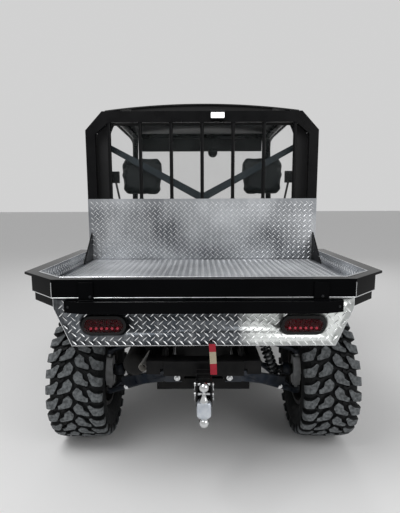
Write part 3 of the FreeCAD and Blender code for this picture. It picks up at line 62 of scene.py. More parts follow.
Point = Sequence[float]
Outline = Sequence[tuple[float, float]]

SIDES = (-1, 1)
RIGHT, AHEAD, UP = (1, 0, 0), (0, 1, 0), (0, 0, 1)
BACK = (0, -1, 0)
WELD = 2e-5
TIP = 1e-5


# Shader graphs

def operator(operation: str, swapped: bool = False) -> Callable[["Wire", object], "Wire"]:
    """A Python operator that adds a Math node.

    Args:
        operation: the node's operation.
        swapped: whether the other value comes first.

    Returns:
        The operator, as a method for the class below.
    """
    def combine(self: "Wire", other: object) -> "Wire":
        """Join two values."""
        first, second = (other, self) if swapped else (self, other)
        return self.tree.node("ShaderNodeMath", {"operation": operation}, {0: first, 1: second})
    return combine


@dataclass
class Wire:
    """One output of a shader node, which takes part in sums written as expressions."""
    tree: "Tree"
    socket: bpy.types.NodeSocket

    __add__ = __radd__ = operator("ADD")
    __mul__ = __rmul__ = operator("MULTIPLY")
    __sub__ = operator("SUBTRACT")
    __rsub__ = operator("SUBTRACT", swapped=True)
    __pow__ = operator("POWER")
    __gt__ = operator("GREATER_THAN")


class Tree:
    """A node tree, started empty."""

    def __init__(self, tree: bpy.types.NodeTree) -> None:
        """Clear the tree."""
        self.tree = tree
        tree.nodes.clear()

    def node(self, kind: str, settings: dict, sockets: dict, out: object = 0) -> Wire:
        """Add a node.

        Args:
            kind: the node's type.
            settings: its properties, set first.
            sockets: input name or number to a Wire or a value.
            out: the output to give back.

        Returns:
            The chosen output.
        """
        made = self.tree.nodes.new(kind)
        for key, value in settings.items():
            setattr(made, key, value)
        for key, value in sockets.items():
            self.feed(made.inputs[key], value)
        return Wire(self, made.outputs[out])

    def feed(self, socket: bpy.types.NodeSocket, value: object) -> None:
        """Link a Wire to a socket, or set a value on it."""
        if isinstance(value, Wire):
            self.tree.links.new(value.socket, socket)
        elif isinstance(value, tuple) and socket.type == "RGBA":
            socket.default_value = (*value[:3], 1.0)
        else:
            socket.default_value = value


class Graph(Tree):
    """The nodes of one material, with its Principled shader."""

    def __init__(self, name: str) -> None:
        """Start the material of this name."""
        self.material = bpy.data.materials.new(name)
        self.material.use_nodes = True
        super().__init__(self.material.node_tree)
        self.shader = self.tree.nodes.new("ShaderNodeBsdfPrincipled")
        output = self.tree.nodes.new("ShaderNodeOutputMaterial")
        self.tree.links.new(self.shader.outputs[0], output.inputs[0])
        self.place = self.node("ShaderNodeTexCoord", {}, {}, "Object")

    def set(self, **inputs: object) -> None:
        """Feed the Principled shader, with input names written with underscores."""
        for key, value in inputs.items():
            self.feed(self.shader.inputs[key.replace("_", " ")], value)

    def noise(self, scale: float, detail: float = 3.0, stretch: Point = (1.0, 1.0, 1.0)) -> Wire:
        """Soft noise from 0 to 1 at a number of patches per metre."""
        spread = self.node("ShaderNodeVectorMath", {"operation": "MULTIPLY"}, {0: self.place, 1: stretch})
        return self.node("ShaderNodeTexNoise", {}, {"Vector": spread, "Scale": scale, "Detail": detail})

    def cells(self, scale: float) -> Wire:
        """Distance in a Voronoi pattern."""
        return self.node("ShaderNodeTexVoronoi", {}, {"Vector": self.place, "Scale": scale})

    def waves(self, scale: float, axis: str) -> Wire:
        """Bands from 0 to 1 across an axis."""
        return self.node("ShaderNodeTexWave", {"bands_direction": axis},
                         {"Vector": self.place, "Scale": scale}, 1)

    def blend(self, share: Wire, first: object, second: object) -> Wire:
        """Mix two colours."""
        return self.node("ShaderNodeMix", {"data_type": "RGBA"}, {0: share, 6: first, 7: second}, 2)

    def ramp(self, share: Wire, low: float, high: float) -> Wire:
        """Stretch a value so that low becomes 0 and high becomes 1, clamped."""
        return self.node("ShaderNodeMapRange", {}, {0: share, 1: low, 2: high, 3: 0.0, 4: 1.0})

    def part(self, axis: int) -> Wire:
        """One coordinate of the place at rest, 0 to 2 for X to Z."""
        return self.node("ShaderNodeSeparateXYZ", {}, {0: self.place}, axis)

    def raised(self, low: float, high: float) -> Wire:
        """How far the mesh's points are raised, stretched to 0 to 1."""
        stored = self.node("ShaderNodeAttribute", {"attribute_name": "raised"}, {}, 2)
        return self.ramp(stored, low, high)

    def relief(self, height: Wire, strength: float, depth: float) -> Wire:
        """A bump whose depth is in metres."""
        return self.node("ShaderNodeBump", {}, {"Height": height, "Strength": strength, "Distance": depth})


# Finishes

@dataclass(frozen=True)
class Finish:
    """A surface whose colour, gloss and fine relief vary gently.

    Attributes: colour and tone are its two shades, patch the patches per metre, rough the range
    of roughness, grain the relief's cells per metre, relief its depth in metres, dust how much
    pale dust the low parts carry, and slot the record's material slot, which is not used.
    """
    name: str
    slot: str
    colour: Colour
    tone: Colour
    patch: float = 9.0
    rough: tuple[float, float] = (0.35, 0.5)
    metal: float = 0.0
    grain: float = 700.0
    relief: float = 0.0001
    coat: float = 0.0
    specular: float = 0.5
    dust: float = 0.0

    def material(self) -> bpy.types.Material:
        """The finish's material, made once."""
        found = bpy.data.materials.get(self.name)
        if found:
            return found
        graph = Graph(self.name)
        graph.set(Metallic=self.metal, Coat_Weight=self.coat, Coat_Roughness=0.08,
                  Specular_IOR_Level=self.specular)
        self.surface(graph)
        return graph.material

    def gloss(self, share: Wire) -> Wire:
        """The roughness, from its low end where the share is 0 to its high end at 1."""
        return self.rough[0] + share * (self.rough[1] - self.rough[0])

    def surface(self, graph: Graph) -> None:
        """Lay the shades, the gloss and the relief."""
        patches = graph.ramp(graph.noise(self.patch), 0.3, 0.7)
        colour = graph.blend(patches, self.colour, self.tone)
        gloss = self.gloss(patches)
        if self.dust:
            low = 1.0 - graph.ramp(graph.part(2), 0.15, 0.95)
            share = low * graph.ramp(graph.noise(24.0, 5.0), 0.35, 0.75) * self.dust
            colour = graph.blend(share, colour, (0.23, 0.21, 0.19))
            gloss = gloss + share * 0.4
        graph.set(Base_Color=colour, Roughness=gloss,
                  Normal=graph.relief(graph.noise(self.grain, 2.0), 0.5, self.relief))


@dataclass(frozen=True)
class Plate(Finish):
    """Mill-finish plate, rolled lengthwise, whose raised lugs are painted bright as highlights.

    Attributes: bright is the lugs' colour, a painted highlight, pale the ground's colour where a
    pale reflection is painted on, and turn the two places across the vehicle between which it fades in.
    """
    bright: Colour = (0.95, 0.96, 0.97)
    pale: Colour = (0.55, 0.57, 0.56)
    turn: tuple[float, float] = (9.0, 10.0)

    def surface(self, graph: Graph) -> None:
        """Lay the rolled streaks, the painted pale reflection at one end and the lugs' painted highlights."""
        streaks = graph.noise(60.0, 3.0, (1.0, 0.06, 0.06))
        ground = graph.blend(graph.ramp(graph.noise(self.patch, 2.0), 0.32, 0.68), self.colour, self.tone)
        # Painted reflection: the ground fades to the pale colour across the vehicle, between the two given
        # places.
        across = graph.part(0) + (graph.noise(5.0, 3.0) - 0.5) * 0.12
        ground = graph.blend(graph.ramp(across, *self.turn), ground, self.pale)
        ground = graph.blend((streaks ** 3.0) * 0.45, ground, self.bright)
        # Painted highlight: the raised lugs take the bright colour.
        raised = graph.raised(0.25, 0.8)
        gloss = self.rough[1] - raised * (self.rough[1] - self.rough[0]) + streaks * 0.08
        graph.set(Base_Color=graph.blend(raised, ground, self.bright), Roughness=gloss,
                  Normal=graph.relief(streaks, 0.25, self.relief))


@dataclass(frozen=True)
class Rubber(Finish):
    """Tyre rubber: black in the grooves, with worn and dusty tops."""
    worn: Colour = (0.168, 0.180, 0.187)

    def surface(self, graph: Graph) -> None:
        """Lay the black, the grey tops and the dust."""
        mottle = graph.ramp(graph.noise(38.0, 6.0), 0.3, 0.7)
        smears = graph.ramp(graph.noise(70.0, 6.0), 0.36, 0.64)
        tops = graph.raised(0.82, 1.0) * (0.35 + smears * 0.65)
        colour = graph.blend(tops, graph.blend(mottle, self.colour, self.tone), self.worn)
        graph.set(Base_Color=colour, Roughness=self.gloss(mottle),
                  Normal=graph.relief(graph.noise(self.grain, 3.0), 0.6, self.relief))


@dataclass(frozen=True)
class Vinyl(Finish):
    """Pebbled seat vinyl."""

    def surface(self, graph: Graph) -> None:
        """Lay the pebble grain and a soft wear."""
        pebbles = graph.cells(420.0)
        worn = graph.ramp(graph.noise(5.0, 3.0), 0.35, 0.75)
        graph.set(Base_Color=graph.blend(worn, self.colour, self.tone), Roughness=self.gloss(pebbles),
                  Normal=graph.relief(pebbles, 0.7, self.relief))


@dataclass(frozen=True)
class Webbing(Finish):
    """Woven webbing, with a pale middle between two heights."""
    middle: Colour = (0.42, 0.36, 0.26)
    band: tuple[float, float] = (0.0, 0.0)

    def surface(self, graph: Graph) -> None:
        """Lay the weave and the pale band."""
        across, along, height = graph.waves(260.0, "X"), graph.waves(300.0, "Z"), graph.part(2)
        pale = (height > self.band[0]) * (1.0 - (height > self.band[1]))
        colour = graph.blend(pale, graph.blend(across, self.colour, self.tone), self.middle)
        graph.set(Base_Color=colour, Roughness=0.8 - along * 0.1,
                  Normal=graph.relief(across * along, 0.8, self.relief))


@dataclass(frozen=True)
class Pane(Finish):
    """Clear or tinted glazing with faint smears."""
    clearness: float = 0.8
    glow: float = 0.0

    def surface(self, graph: Graph) -> None:
        """Lay a thin tint, a sharp gloss and the smears."""
        smears = graph.ramp(graph.noise(7.0, 5.0), 0.45, 0.8)
        graph.set(Base_Color=graph.blend(smears, self.colour, self.tone), Roughness=self.gloss(smears),
                  Alpha=1.0 - self.clearness)
        if self.glow:
            graph.set(Emission_Color=self.tone, Emission_Strength=self.glow)


PLATE = Plate("tread_plate_metal", "tread_plate", (0.11, 0.12, 0.135), (0.62, 0.64, 0.67),
              patch=2.6, rough=(0.16, 0.29), metal=0.8, relief=0.0002)
FLOOR_PLATE = Plate("floor_plate_metal", "tread_plate", (0.14, 0.15, 0.17), (0.44, 0.46, 0.49),
                    patch=2.6, rough=(0.22, 0.34), metal=0.45, relief=0.0002)
# The tail panel's dark ground and its pale right end paint the dark and the pale reflections on its bare
# metal.
TAIL_PLATE = Plate("tail_plate_metal", "tread_plate", (0.036, 0.044, 0.056), (0.090, 0.100, 0.112),
                   patch=3.4, rough=(0.14, 0.26), metal=1.0, relief=0.0002,
                   pale=(0.86, 0.89, 0.87), turn=(0.16, 0.23))
# Bright bare metal: the real cut edges, and on the black fascia's edges a painted highlight.
BARE_EDGE_AND_HIGHLIGHT = Finish("bare_edge_and_highlight_metal", "tread_plate", (0.72, 0.73, 0.75), (0.86, 0.87, 0.88),
              rough=(0.22, 0.34), metal=1.0)
BED_PAINT = Finish("bed_gloss_black", "bed_black", (0.0016, 0.0017, 0.0020), (0.0030, 0.0031, 0.0036),
                   patch=4.0, rough=(0.08, 0.16), grain=220.0, relief=0.0002, specular=0.03)
FRAME_PAINT = Finish("frame_satin_black", "frame_black", (0.0022, 0.0023, 0.0027), (0.0045, 0.0045, 0.005),
                     patch=12.0, rough=(0.30, 0.42), relief=0.0002, specular=0.12, dust=0.05)
CAGE_PAINT = Finish("cage_satin_black", "frame_black", (0.0022, 0.0023, 0.0027), (0.0040, 0.0041, 0.0046),
                    patch=12.0, rough=(0.24, 0.36), relief=0.0002, specular=0.11)
ARM_PAINT = Finish("arm_blue_black", "dark_steel", (0.009, 0.014, 0.023), (0.020, 0.028, 0.042),
                   patch=18.0, rough=(0.26, 0.44), relief=0.0003, specular=0.3, dust=0.2)
BRACE_PAINT = Finish("brace_slate", "dark_steel", (0.016, 0.024, 0.030), (0.028, 0.039, 0.047),
                     rough=(0.34, 0.46), relief=0.0002, specular=0.3)
TYRE = Rubber("worn_tread_rubber", "tyre_rubber", (0.0055, 0.0060, 0.0065), (0.0105, 0.0115, 0.0125),
              rough=(0.62, 0.85), grain=900.0, relief=0.0004, specular=0.22)
RIM_PAINT = Finish("rim_satin_black", "rim_black", (0.006, 0.006, 0.0065), (0.011, 0.011, 0.012),
                   rough=(0.24, 0.34), relief=0.0001, specular=0.3, dust=0.15)
ALLOY = Finish("rough_cast_alloy", "cast_alloy", (0.42, 0.43, 0.44), (0.60, 0.61, 0.62),
               patch=30.0, rough=(0.34, 0.52), metal=0.6, relief=0.0005, dust=0.2)
GREY_ALLOY = Finish("housing_alloy", "cast_alloy", (0.012, 0.013, 0.015), (0.028, 0.029, 0.032),
                    patch=25.0, rough=(0.45, 0.62), metal=0.4, relief=0.0005, specular=0.3, dust=0.1)
BRIGHT_STEEL = Finish("zinc_steel", "spring_steel", (0.60, 0.61, 0.62), (0.78, 0.79, 0.80),
                      patch=60.0, rough=(0.22, 0.36), metal=1.0)
SPRING = Finish("spring_paint", "spring_steel", (0.020, 0.022, 0.025), (0.045, 0.047, 0.050),
                rough=(0.28, 0.4), metal=0.3)
DAMPER = Finish("damper_steel", "spring_steel", (0.13, 0.135, 0.14), (0.26, 0.265, 0.27),
                patch=40.0, rough=(0.26, 0.4), metal=0.9)
PANEL = Finish("graphite_panel", "body_panel", (0.018, 0.019, 0.021), (0.026, 0.027, 0.029),
               patch=3.0, rough=(0.14, 0.22), grain=60.0, relief=0.0002, coat=0.4, dust=0.12)
PLASTIC = Finish("moulded_black", "dark_plastic", (0.0065, 0.0066, 0.0073), (0.0115, 0.0116, 0.0125),
                 rough=(0.46, 0.6), grain=900.0, relief=0.0004, specular=0.25, dust=0.15)
ROOF_PLASTIC = Finish("roof_black", "dark_plastic", (0.0050, 0.0053, 0.0060), (0.0090, 0.0094, 0.0102),
                      patch=3.0, rough=(0.38, 0.5), grain=700.0, relief=0.0003, specular=0.25)
SOFT_RUBBER = Finish("soft_rubber", "grommet_rubber", (0.0060, 0.0060, 0.0062), (0.011, 0.011, 0.0115),
                     rough=(0.5, 0.65), grain=1200.0, relief=0.0002, specular=0.25)
SEAT = Vinyl("pebbled_vinyl", "seat_vinyl", (0.0075, 0.0100, 0.0112), (0.014, 0.018, 0.0195),
             rough=(0.42, 0.62), relief=0.0005, specular=0.3)
STITCH = Finish("seat_stitching", "seat_vinyl", (0.05, 0.055, 0.06), (0.08, 0.085, 0.09),
                rough=(0.6, 0.8), grain=500.0)
CHROME = Finish("polished_ball", "chrome_ball", (0.60, 0.61, 0.62), (0.70, 0.71, 0.71),
                rough=(0.05, 0.12), metal=1.0, relief=0.00002)
SATIN = Finish("satin_block", "chrome_ball", (0.50, 0.54, 0.60), (0.66, 0.69, 0.73),
               patch=40.0, rough=(0.34, 0.46), metal=0.85, grain=1500.0)
MIRROR = Finish("mirror_face", "mirror_glass", (0.78, 0.80, 0.82), (0.84, 0.85, 0.86),
                rough=(0.02, 0.06), metal=1.0, relief=0.00001)
EXHAUST = Finish("dull_exhaust", "exhaust_steel", (0.36, 0.35, 0.33), (0.58, 0.56, 0.53),
                 patch=26.0, rough=(0.36, 0.52), metal=0.6, relief=0.0004, dust=0.15)
SILENCER = Finish("black_silencer", "exhaust_steel", (0.0055, 0.0055, 0.0055), (0.012, 0.0115, 0.011),
                  patch=20.0, rough=(0.5, 0.66), metal=0.2, relief=0.0004, specular=0.2, dust=0.04)
SOOT = Finish("soot", "exhaust_steel", (0.006, 0.006, 0.006), (0.012, 0.011, 0.010),
              rough=(0.8, 0.95))
GLASS = Pane("cab_glass", "clear_glass", (0.05, 0.06, 0.06), (0.16, 0.18, 0.18),
             rough=(0.02, 0.08), clearness=0.93, specular=0.3)
RED_LENS = Pane("red_lens", "lamp_red", (0.040, 0.0008, 0.002), (0.065, 0.0014, 0.003),
                rough=(0.05, 0.10), clearness=0.70, specular=0.25)
LED = Pane("red_diode", "lamp_red", (0.42, 0.012, 0.030), (0.75, 0.09, 0.13),
           rough=(0.12, 0.2), clearness=0.0, glow=0.6)
DIM_LED = Pane("dim_red_diode", "lamp_red", (0.10, 0.003, 0.008), (0.16, 0.006, 0.012),
               rough=(0.2, 0.3), clearness=0.0)
LAMP_BACK = Finish("lamp_back", "lamp_red", (0.026, 0.0007, 0.0012), (0.042, 0.0012, 0.002),
                   rough=(0.3, 0.4), specular=0.3)
CLEAR_LENS = Pane("clear_lens", "lamp_clear", (0.80, 0.83, 0.86), (0.90, 0.92, 0.94),
                  rough=(0.03, 0.08), clearness=0.72, coat=0.5)
LIT_LENS = Pane("lit_lens", "lamp_clear", (0.95, 0.97, 1.0), (1.0, 1.0, 1.0),
                rough=(0.1, 0.2), clearness=0.0, glow=1.5)
REFLECTOR = Finish("reflector", "lamp_clear", (0.80, 0.82, 0.84), (0.88, 0.89, 0.90),
                   rough=(0.08, 0.14), metal=1.0, relief=0.00005)


# Meshes

def length(vector: np.ndarray) -> float:
    """A vector's length."""
    return float(np.linalg.norm(vector))


def unit(vector: Point) -> np.ndarray:
    """A vector of length one along another."""
    vector = np.asarray(vector, float)
    return vector / max(length(vector), 1e-12)


def circle(count: int) -> list[tuple[float, float]]:
    """Even steps round a circle of radius one, as (cosine, sine)."""
    angles = [2 * math.pi * step / count for step in range(count)]
    return [(math.cos(angle), math.sin(angle)) for angle in angles]


def squared(share: float, power: float) -> float:
    """A cosine or sine drawn out towards a square's, with its sign kept."""
    return math.copysign(abs(share) ** power, share)


def mirrored(right: Outline) -> list[tuple[float, float]]:
    """A line on the vehicle's right and its mirror image, in one run."""
    return [*right, *((-x, other) for x, other in reversed(right))]


def bent(points: Sequence[Point], radius: float, steps: int = 6) -> np.ndarray:
    """A route with its corners rounded.

    Args:
        points: the corners in order.
        radius: the largest bend radius.
        steps: the points on each bend.

    Returns:
        The rounded route, one row a point.
    """
    corners = [np.asarray(item, float) for item in points]
    route = [corners[0]]
    for before, corner, after in zip(corners, corners[1:], corners[2:]):
        back, ahead = unit(before - corner), unit(after - corner)
        half = math.acos(max(-1.0, min(1.0, float(back @ ahead)))) / 2
        reach = min(radius / max(math.tan(half), 1e-6), 0.45 * length(before - corner),
                    0.45 * length(after - corner))
        start, end = corner + back * reach, corner + ahead * reach
        for share in np.linspace(0, 1, steps + 1):
            route.append((1 - share) ** 2 * start + 2 * share * (1 - share) * corner + share ** 2 * end)
    return np.array(route + [corners[-1]])


def stadium(x: float, z: float, wide: float, high: float, steps: int = 10) -> list[tuple[float, float]]:
    """A stadium outline about a point.

    Args:
        x: the point's place across.
        z: the point's height.
        wide: the outline's width.
        high: its height.
        steps: the steps round each end.

    Returns:
        Its points.
    """
    radius = high / 2
    points = []
    for end, start in ((1, -90), (-1, 90)):
        for step in range(steps + 1):
            angle = math.radians(start + 180 * step / steps)
            points.append((x + end * (wide / 2 - radius) + radius * math.cos(angle),
                           z + radius * math.sin(angle)))
    return points


def inside(points: np.ndarray, outline: Outline) -> np.ndarray:
    """Which points lie inside an outline.

    Args:
        points: one row a point.
        outline: the corners in order.

    Returns:
        True or false for each point.
    """
    found = np.zeros(len(points), bool)
    x, y = points.T
    for (x1, y1), (x2, y2) in zip(outline, [*outline[1:], outline[0]]):
        if y1 != y2:
            found ^= ((y1 > y) != (y2 > y)) & (x < (x2 - x1) * (y - y1) / (y2 - y1) + x1)
    return found


def placed(name: str, data: bpy.types.ID) -> bpy.types.Object:
    """A new object in the scene."""
    made = bpy.data.objects.new(name, data)
    bpy.context.scene.collection.objects.link(made)
    return made


def spots(mesh: bpy.types.Mesh) -> np.ndarray:
    """A mesh's points, one row a point."""
    rows = np.zeros(len(mesh.vertices) * 3)
    mesh.vertices.foreach_get("co", rows)
    return rows.reshape(-1, 3)


def coat(made: bpy.types.Object, finish: Finish) -> None:
    """Give an object one finish."""
    made.data.materials.clear()
    made.data.materials.append(finish.material())


def round_edges(made: bpy.types.Object, width: float) -> None:
    """Round an object's edges with a narrow two-step bevel.

    Args:
        made: the object.
        width: the bevel's width.
    """
    edge = made.modifiers.new("rounded", "BEVEL")
    edge.width = width
    edge.segments = 2
    edge.limit_method = "ANGLE"
    edge.angle_limit = math.radians(32.0)
    edge.harden_normals = True


def dress(node: str, finish: Finish, bevel: float) -> None:
    """Give a carried-over node its finish and rounded edges.

    Args:
        node: the node's name.
        finish: its surface.
        bevel: the width of its rounded edges, or 0.
    """
    made = frame["nodes"][node]
    coat(made, finish)
    for face in made.data.polygons:
        face.material_index = 0
    if "custom_normal" in made.data.attributes:
        made.data.attributes.remove(made.data.attributes["custom_normal"])
    made.data.shade_smooth()
    made.modifiers.new("welded", "WELD").merge_threshold = WELD
    if bevel:
        flat = made.modifiers.new("flat", "DECIMATE")
        flat.decimate_type = "DISSOLVE"
        flat.angle_limit = math.radians(0.8)
        round_edges(made, bevel)
    log.info("node %s in %s", node, finish.name)


class Form:
    """Points and faces gathered into one mesh, with how far each point is raised."""

    def __init__(self) -> None:
        """Start empty."""
        self.points: list[np.ndarray] = []
        self.faces: list[tuple[int, ...]] = []
        self.raised: list[np.ndarray] = []
        self.count = 0

    def add(self, points: object, faces: Iterable[Sequence[int]], raised: object = 0.0) -> "Form":
        """Add a patch of mesh.

        Args:
            points: one row a point.
            faces: each face's points.
            raised: one number, or one for each point.

        Returns:
            This form.
        """
        points = np.asarray(points, float).reshape(-1, 3)
        self.faces += [tuple(index + self.count for index in face) for face in faces]
        self.points.append(points)
        self.raised.append(np.broadcast_to(np.asarray(raised, float), (len(points),)))
        self.count += len(points)
        return self

    def loft(self, rings: Iterable[object], closed: bool = False, caps: bool = True,
             open_ring: bool = False, raised: object = 0.0) -> "Form":
        """Skin rings that have as many points as each other.

        Args:
            rings: the sections in order.
            closed: whether the last section joins the first.
            caps: whether the end sections are filled.
            open_ring: whether the sections are open lines.
            raised: as for add.

        Returns:
            This form.
        """
        rings = [np.asarray(ring, float) for ring in rings]
        size, count = len(rings[0]), len(rings)
        faces: list[Sequence[int]] = []
        for row in range(count if closed else count - 1):
            near, far = row * size, (row + 1) % count * size
            for one in range(size - 1 if open_ring else size):
                two = (one + 1) % size
                faces.append((near + one, near + two, far + two, far + one))
        if caps and not closed:
            faces.append(tuple(reversed(range(size))))
            faces.append(tuple((count - 1) * size + index for index in range(size)))
        return self.add(np.concatenate(rings), faces, raised)

    def prism(self, outline: Outline, axis: str, start: float, end: float) -> "Form":
        """A flat outline thickened along an axis; the outline's two numbers are the others."""
        rows = np.array([tuple(item) for item in outline], float)
        return self.loft([np.insert(rows, "XYZ".index(axis), along, axis=1) for along in (start, end)])

    def box(self, one: Point, two: Point) -> "Form":
        """A block between two opposite corners."""
        low, high = np.minimum(one, two), np.maximum(one, two)
        return self.prism([low[:2], (high[0], low[1]), high[:2], (low[0], high[1])], "Z", low[2], high[2])

    def turned(self, profile: Outline, centre: Point, axis: Point, steps: int = 32,
               ring: bool = False, tip: float = TIP) -> "Form":
        """A profile of (along, radius) turned about an axis.

        Args:
            profile: the outline, closed on itself if ring is true, else from end to end.
            centre: where along is 0.
            axis: the direction of along.
            steps: the sides of the turned form.
            ring: whether the profile is a closed loop.
            tip: the least radius, which closes the ends.

        Returns:
            This form.
        """
        axis = unit(axis)
        side = unit(np.cross(axis, UP if abs(axis[2]) < 0.9 else RIGHT))
        up = np.cross(side, axis)
        rings = []
        for cosine, sine in circle(steps):
            way = side * cosine + up * sine
            rings.append([np.asarray(centre, float) + axis * along + way * max(radius, tip)
                          for along, radius in profile])
        return self.loft(rings, closed=True, open_ring=not ring)

    def sweep(self, route: object, section: Outline, size: object, loop: bool = False,
              up: Point = UP) -> "Form":
        """A flat section carried along a route without twist.

        Args:
            route: the points of its middle line.
            section: the outline as (sideways, upward) numbers.
            size: what the section is multiplied by, one number or one for each point.
            loop: whether the route is closed.
            up: the direction that starts as upward.

        Returns:
            This form.
        """
        route = np.asarray(route, float)
        sizes = np.broadcast_to(np.asarray(size, float), (len(route),))
        ways = np.roll(route, -1, 0) - np.roll(route, 1, 0)
        if not loop:
            ways[0], ways[-1] = route[1] - route[0], route[-1] - route[-2]
        lift = np.asarray(up, float)
        if abs(float(unit(ways[0]) @ unit(lift))) > 0.95:
            lift = np.asarray(AHEAD, float)
        rings = []
        for spot, way, scale in zip(route, ways, sizes):
            way = unit(way)
            lift = unit(lift - way * float(lift @ way))
            side = np.cross(way, lift)
            rings.append([spot + (side * a + lift * b) * scale for a, b in section])
        return self.loft(rings, closed=loop)

    def tube(self, route: object, radius: object, sides: int = 12, loop: bool = False) -> "Form":
        """A round bar along a route, closed or from end to end."""
        return self.sweep(route, circle(sides), radius, loop)

    def rods(self, route: Sequence[Point], radius: float, sides: int = 6) -> "Form":
        """A straight round bar from each point of a route to the next."""
        for start, end in zip(route, route[1:]):
            self.tube([start, end], radius, sides)
        return self

    def ball(self, centre: Point, radius: float, steps: int) -> "Form":
        """A sphere."""
        angles = [math.pi * step / (steps // 2) for step in range(steps // 2 + 1)]
        return self.turned([(-radius * math.cos(angle), radius * math.sin(angle)) for angle in angles],
                           centre, UP, steps, tip=0.0)

    def bolt(self, place: Point, way: Point, size: float, washer: bool = True) -> "Form":
        """A hexagon head standing on a face.

        Args:
            place: its middle on the face.
            way: the direction that it points in.
            size: its radius.
            washer: whether a washer lies under it.

        Returns:
            This form.
        """
        if washer:
            self.turned([(0, 0), (0, size * 1.45), (size * 0.22, size * 1.45), (size * 0.22, 0)],
                        place, way, 16)
        profile = ((0.2, 0), (0.2, 1.0), (0.95, 1.0), (1.15, 0.82), (1.15, 0))
        return self.turned([(along * size, radius * size) for along, radius in profile], place, way, 6)

    def mesh(self, name: str) -> bpy.types.Mesh:
        """The mesh, welded, with its faces turned outwards."""
        mesh = bpy.data.meshes.new(name)
        mesh.from_pydata(np.concatenate(self.points).tolist(), [], self.faces)
        attribute = mesh.attributes.new("raised", "FLOAT", "POINT")
        attribute.data.foreach_set("value", np.concatenate(self.raised).astype(np.float32))
        work = bmesh.new()
        work.from_mesh(mesh)
        bmesh.ops.remove_doubles(work, verts=work.verts, dist=WELD)
        bmesh.ops.dissolve_degenerate(work, edges=work.edges, dist=1e-6)
        bmesh.ops.recalc_face_normals(work, faces=work.faces)
        work.to_mesh(mesh)
        work.free()
        return mesh

    def piece(self, name: str, finish: Finish, body: str, replaces: Sequence[str] = (),
              bevel: float = 0.0, smooth: float = 35.0) -> bpy.types.Object:
        """Make the object.

        Args:
            name: the piece's name.
            finish: its surface.
            body: the frame's body that carries it.
            replaces: the nodes that it stands for.
            bevel: the width of its rounded edges.
            smooth: the angle in degrees under which edges are shaded smooth.

        Returns:
            The object.
        """
        mesh = self.mesh(name)
        mesh.shade_smooth()
        mesh.set_sharp_from_angle(angle=math.radians(smooth))
        made = placed(name, mesh)
        if bevel:
            round_edges(made, bevel)
        coat(made, finish)
        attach(made, body)
        if replaces:
            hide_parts(*replaces)
        log.info("piece %s on %s", name, body)
        return made


@dataclass
class Assembly:
    """A sub-assembly: the body that carries it, and its nodes as (node, finish, rounding)."""
    body: str = "chassis"

    DRESSED = ()

    def build(self) -> None:
        """Dress the nodes and build every piece."""
        for node, finish, bevel in self.DRESSED:
            dress(node, finish, bevel)
        self.pieces()

    def pieces(self) -> None:
        """Build the pieces."""


# The bed

@dataclass
class Lugs:
    """The raised pattern of tread plate: lens-shaped lugs at right angles, in turn.

    Attributes: first is where the pattern starts on the face, shift where the second family
    starts within a pitch, and second how bright that family is painted: less than the first, as painted
    shade.
    """
    pitch: float = 0.035
    reach: float = 0.0165
    half_width: float = 0.0036
    height: float = 0.0019
    margin: float = 0.001
    first: tuple[float, float] = (0.0, 0.0)
    shift: tuple[float, float] = (0.57, 0.5)
    second: float = 0.75

    def lens(self) -> tuple[np.ndarray, list[tuple[int, ...]]]:
        """One lug as rows of (along, across, height), with its faces."""
        rows = [(-self.reach, 0.0, 0.0)]
        for along, width, lift in ((-0.62, 0.72, 0.75), (0.0, 1.0, 1.0), (0.62, 0.72, 0.75)):
            for side, share in ((-1.0, 0.0), (-0.45, 1.0), (0.45, 1.0), (1.0, 0.0)):
                rows.append((along * self.reach, side * width * self.half_width,
                             share * lift * self.height))
        rows.append((self.reach, 0.0, 0.0))
        faces: list[tuple[int, ...]] = [(0, 1, 2), (0, 2, 3), (0, 3, 4)]
        for row in (1, 5):
            faces += [(row + k, row + k + 4, row + k + 5, row + k + 1) for k in range(3)]
        return np.array(rows), faces + [(13, 10, 9), (13, 11, 10), (13, 12, 11)]

    def lay(self, form: Form, origin: Point, across: Point, upward: Point, outline: Outline,
            holes: Sequence[Outline] = ()) -> Form:
        """Cover a flat face.

        Args:
            form: what the lugs are added to.
            origin: the face's zero point.
            across: the face's first direction.
            upward: the face's second direction.
            outline: the face as (across, upward) corners.
            holes: outlines that stay bare.

        Returns:
            The form.
        """
        across, upward = unit(across), unit(upward)
        out = np.cross(across, upward)
        corners = np.array(outline) - self.first
        rows, faces = self.lens()
        steps = [np.arange(math.floor(a / self.pitch) - 1, math.ceil(b / self.pitch) + 1)
                 for a, b in zip(corners.min(0), corners.max(0))]
        places = np.array(np.meshgrid(*steps)).reshape(2, -1).T
        # The second family is painted dimmer than the first: painted shade on lugs of that direction.
        for turn, shift, painted_highlight in ((-1.0, (0.0, 0.0), 1.0), (1.0, self.shift, self.second)):
            grid = (places + shift) * self.pitch + self.first
            along = np.array((math.sqrt(0.5), turn * math.sqrt(0.5)))
            side = np.array((-along[1], along[0]))
            tip = along * (self.reach + self.margin)
            keep = np.ones(len(grid), bool)
            for spot in (grid, grid - tip, grid + tip):
                keep &= inside(spot, outline)
                for hole in holes:
                    keep &= ~inside(spot, hole)
            for spot in grid[keep]:
                flat = spot + np.outer(rows[:, 0], along) + np.outer(rows[:, 1], side)
                points = (np.asarray(origin, float) + np.outer(flat[:, 0], across)
                          + np.outer(flat[:, 1], upward) + np.outer(rows[:, 2], out))
                form.add(points, faces, np.where(rows[:, 2] > 0, painted_highlight, 0.0))
        return form


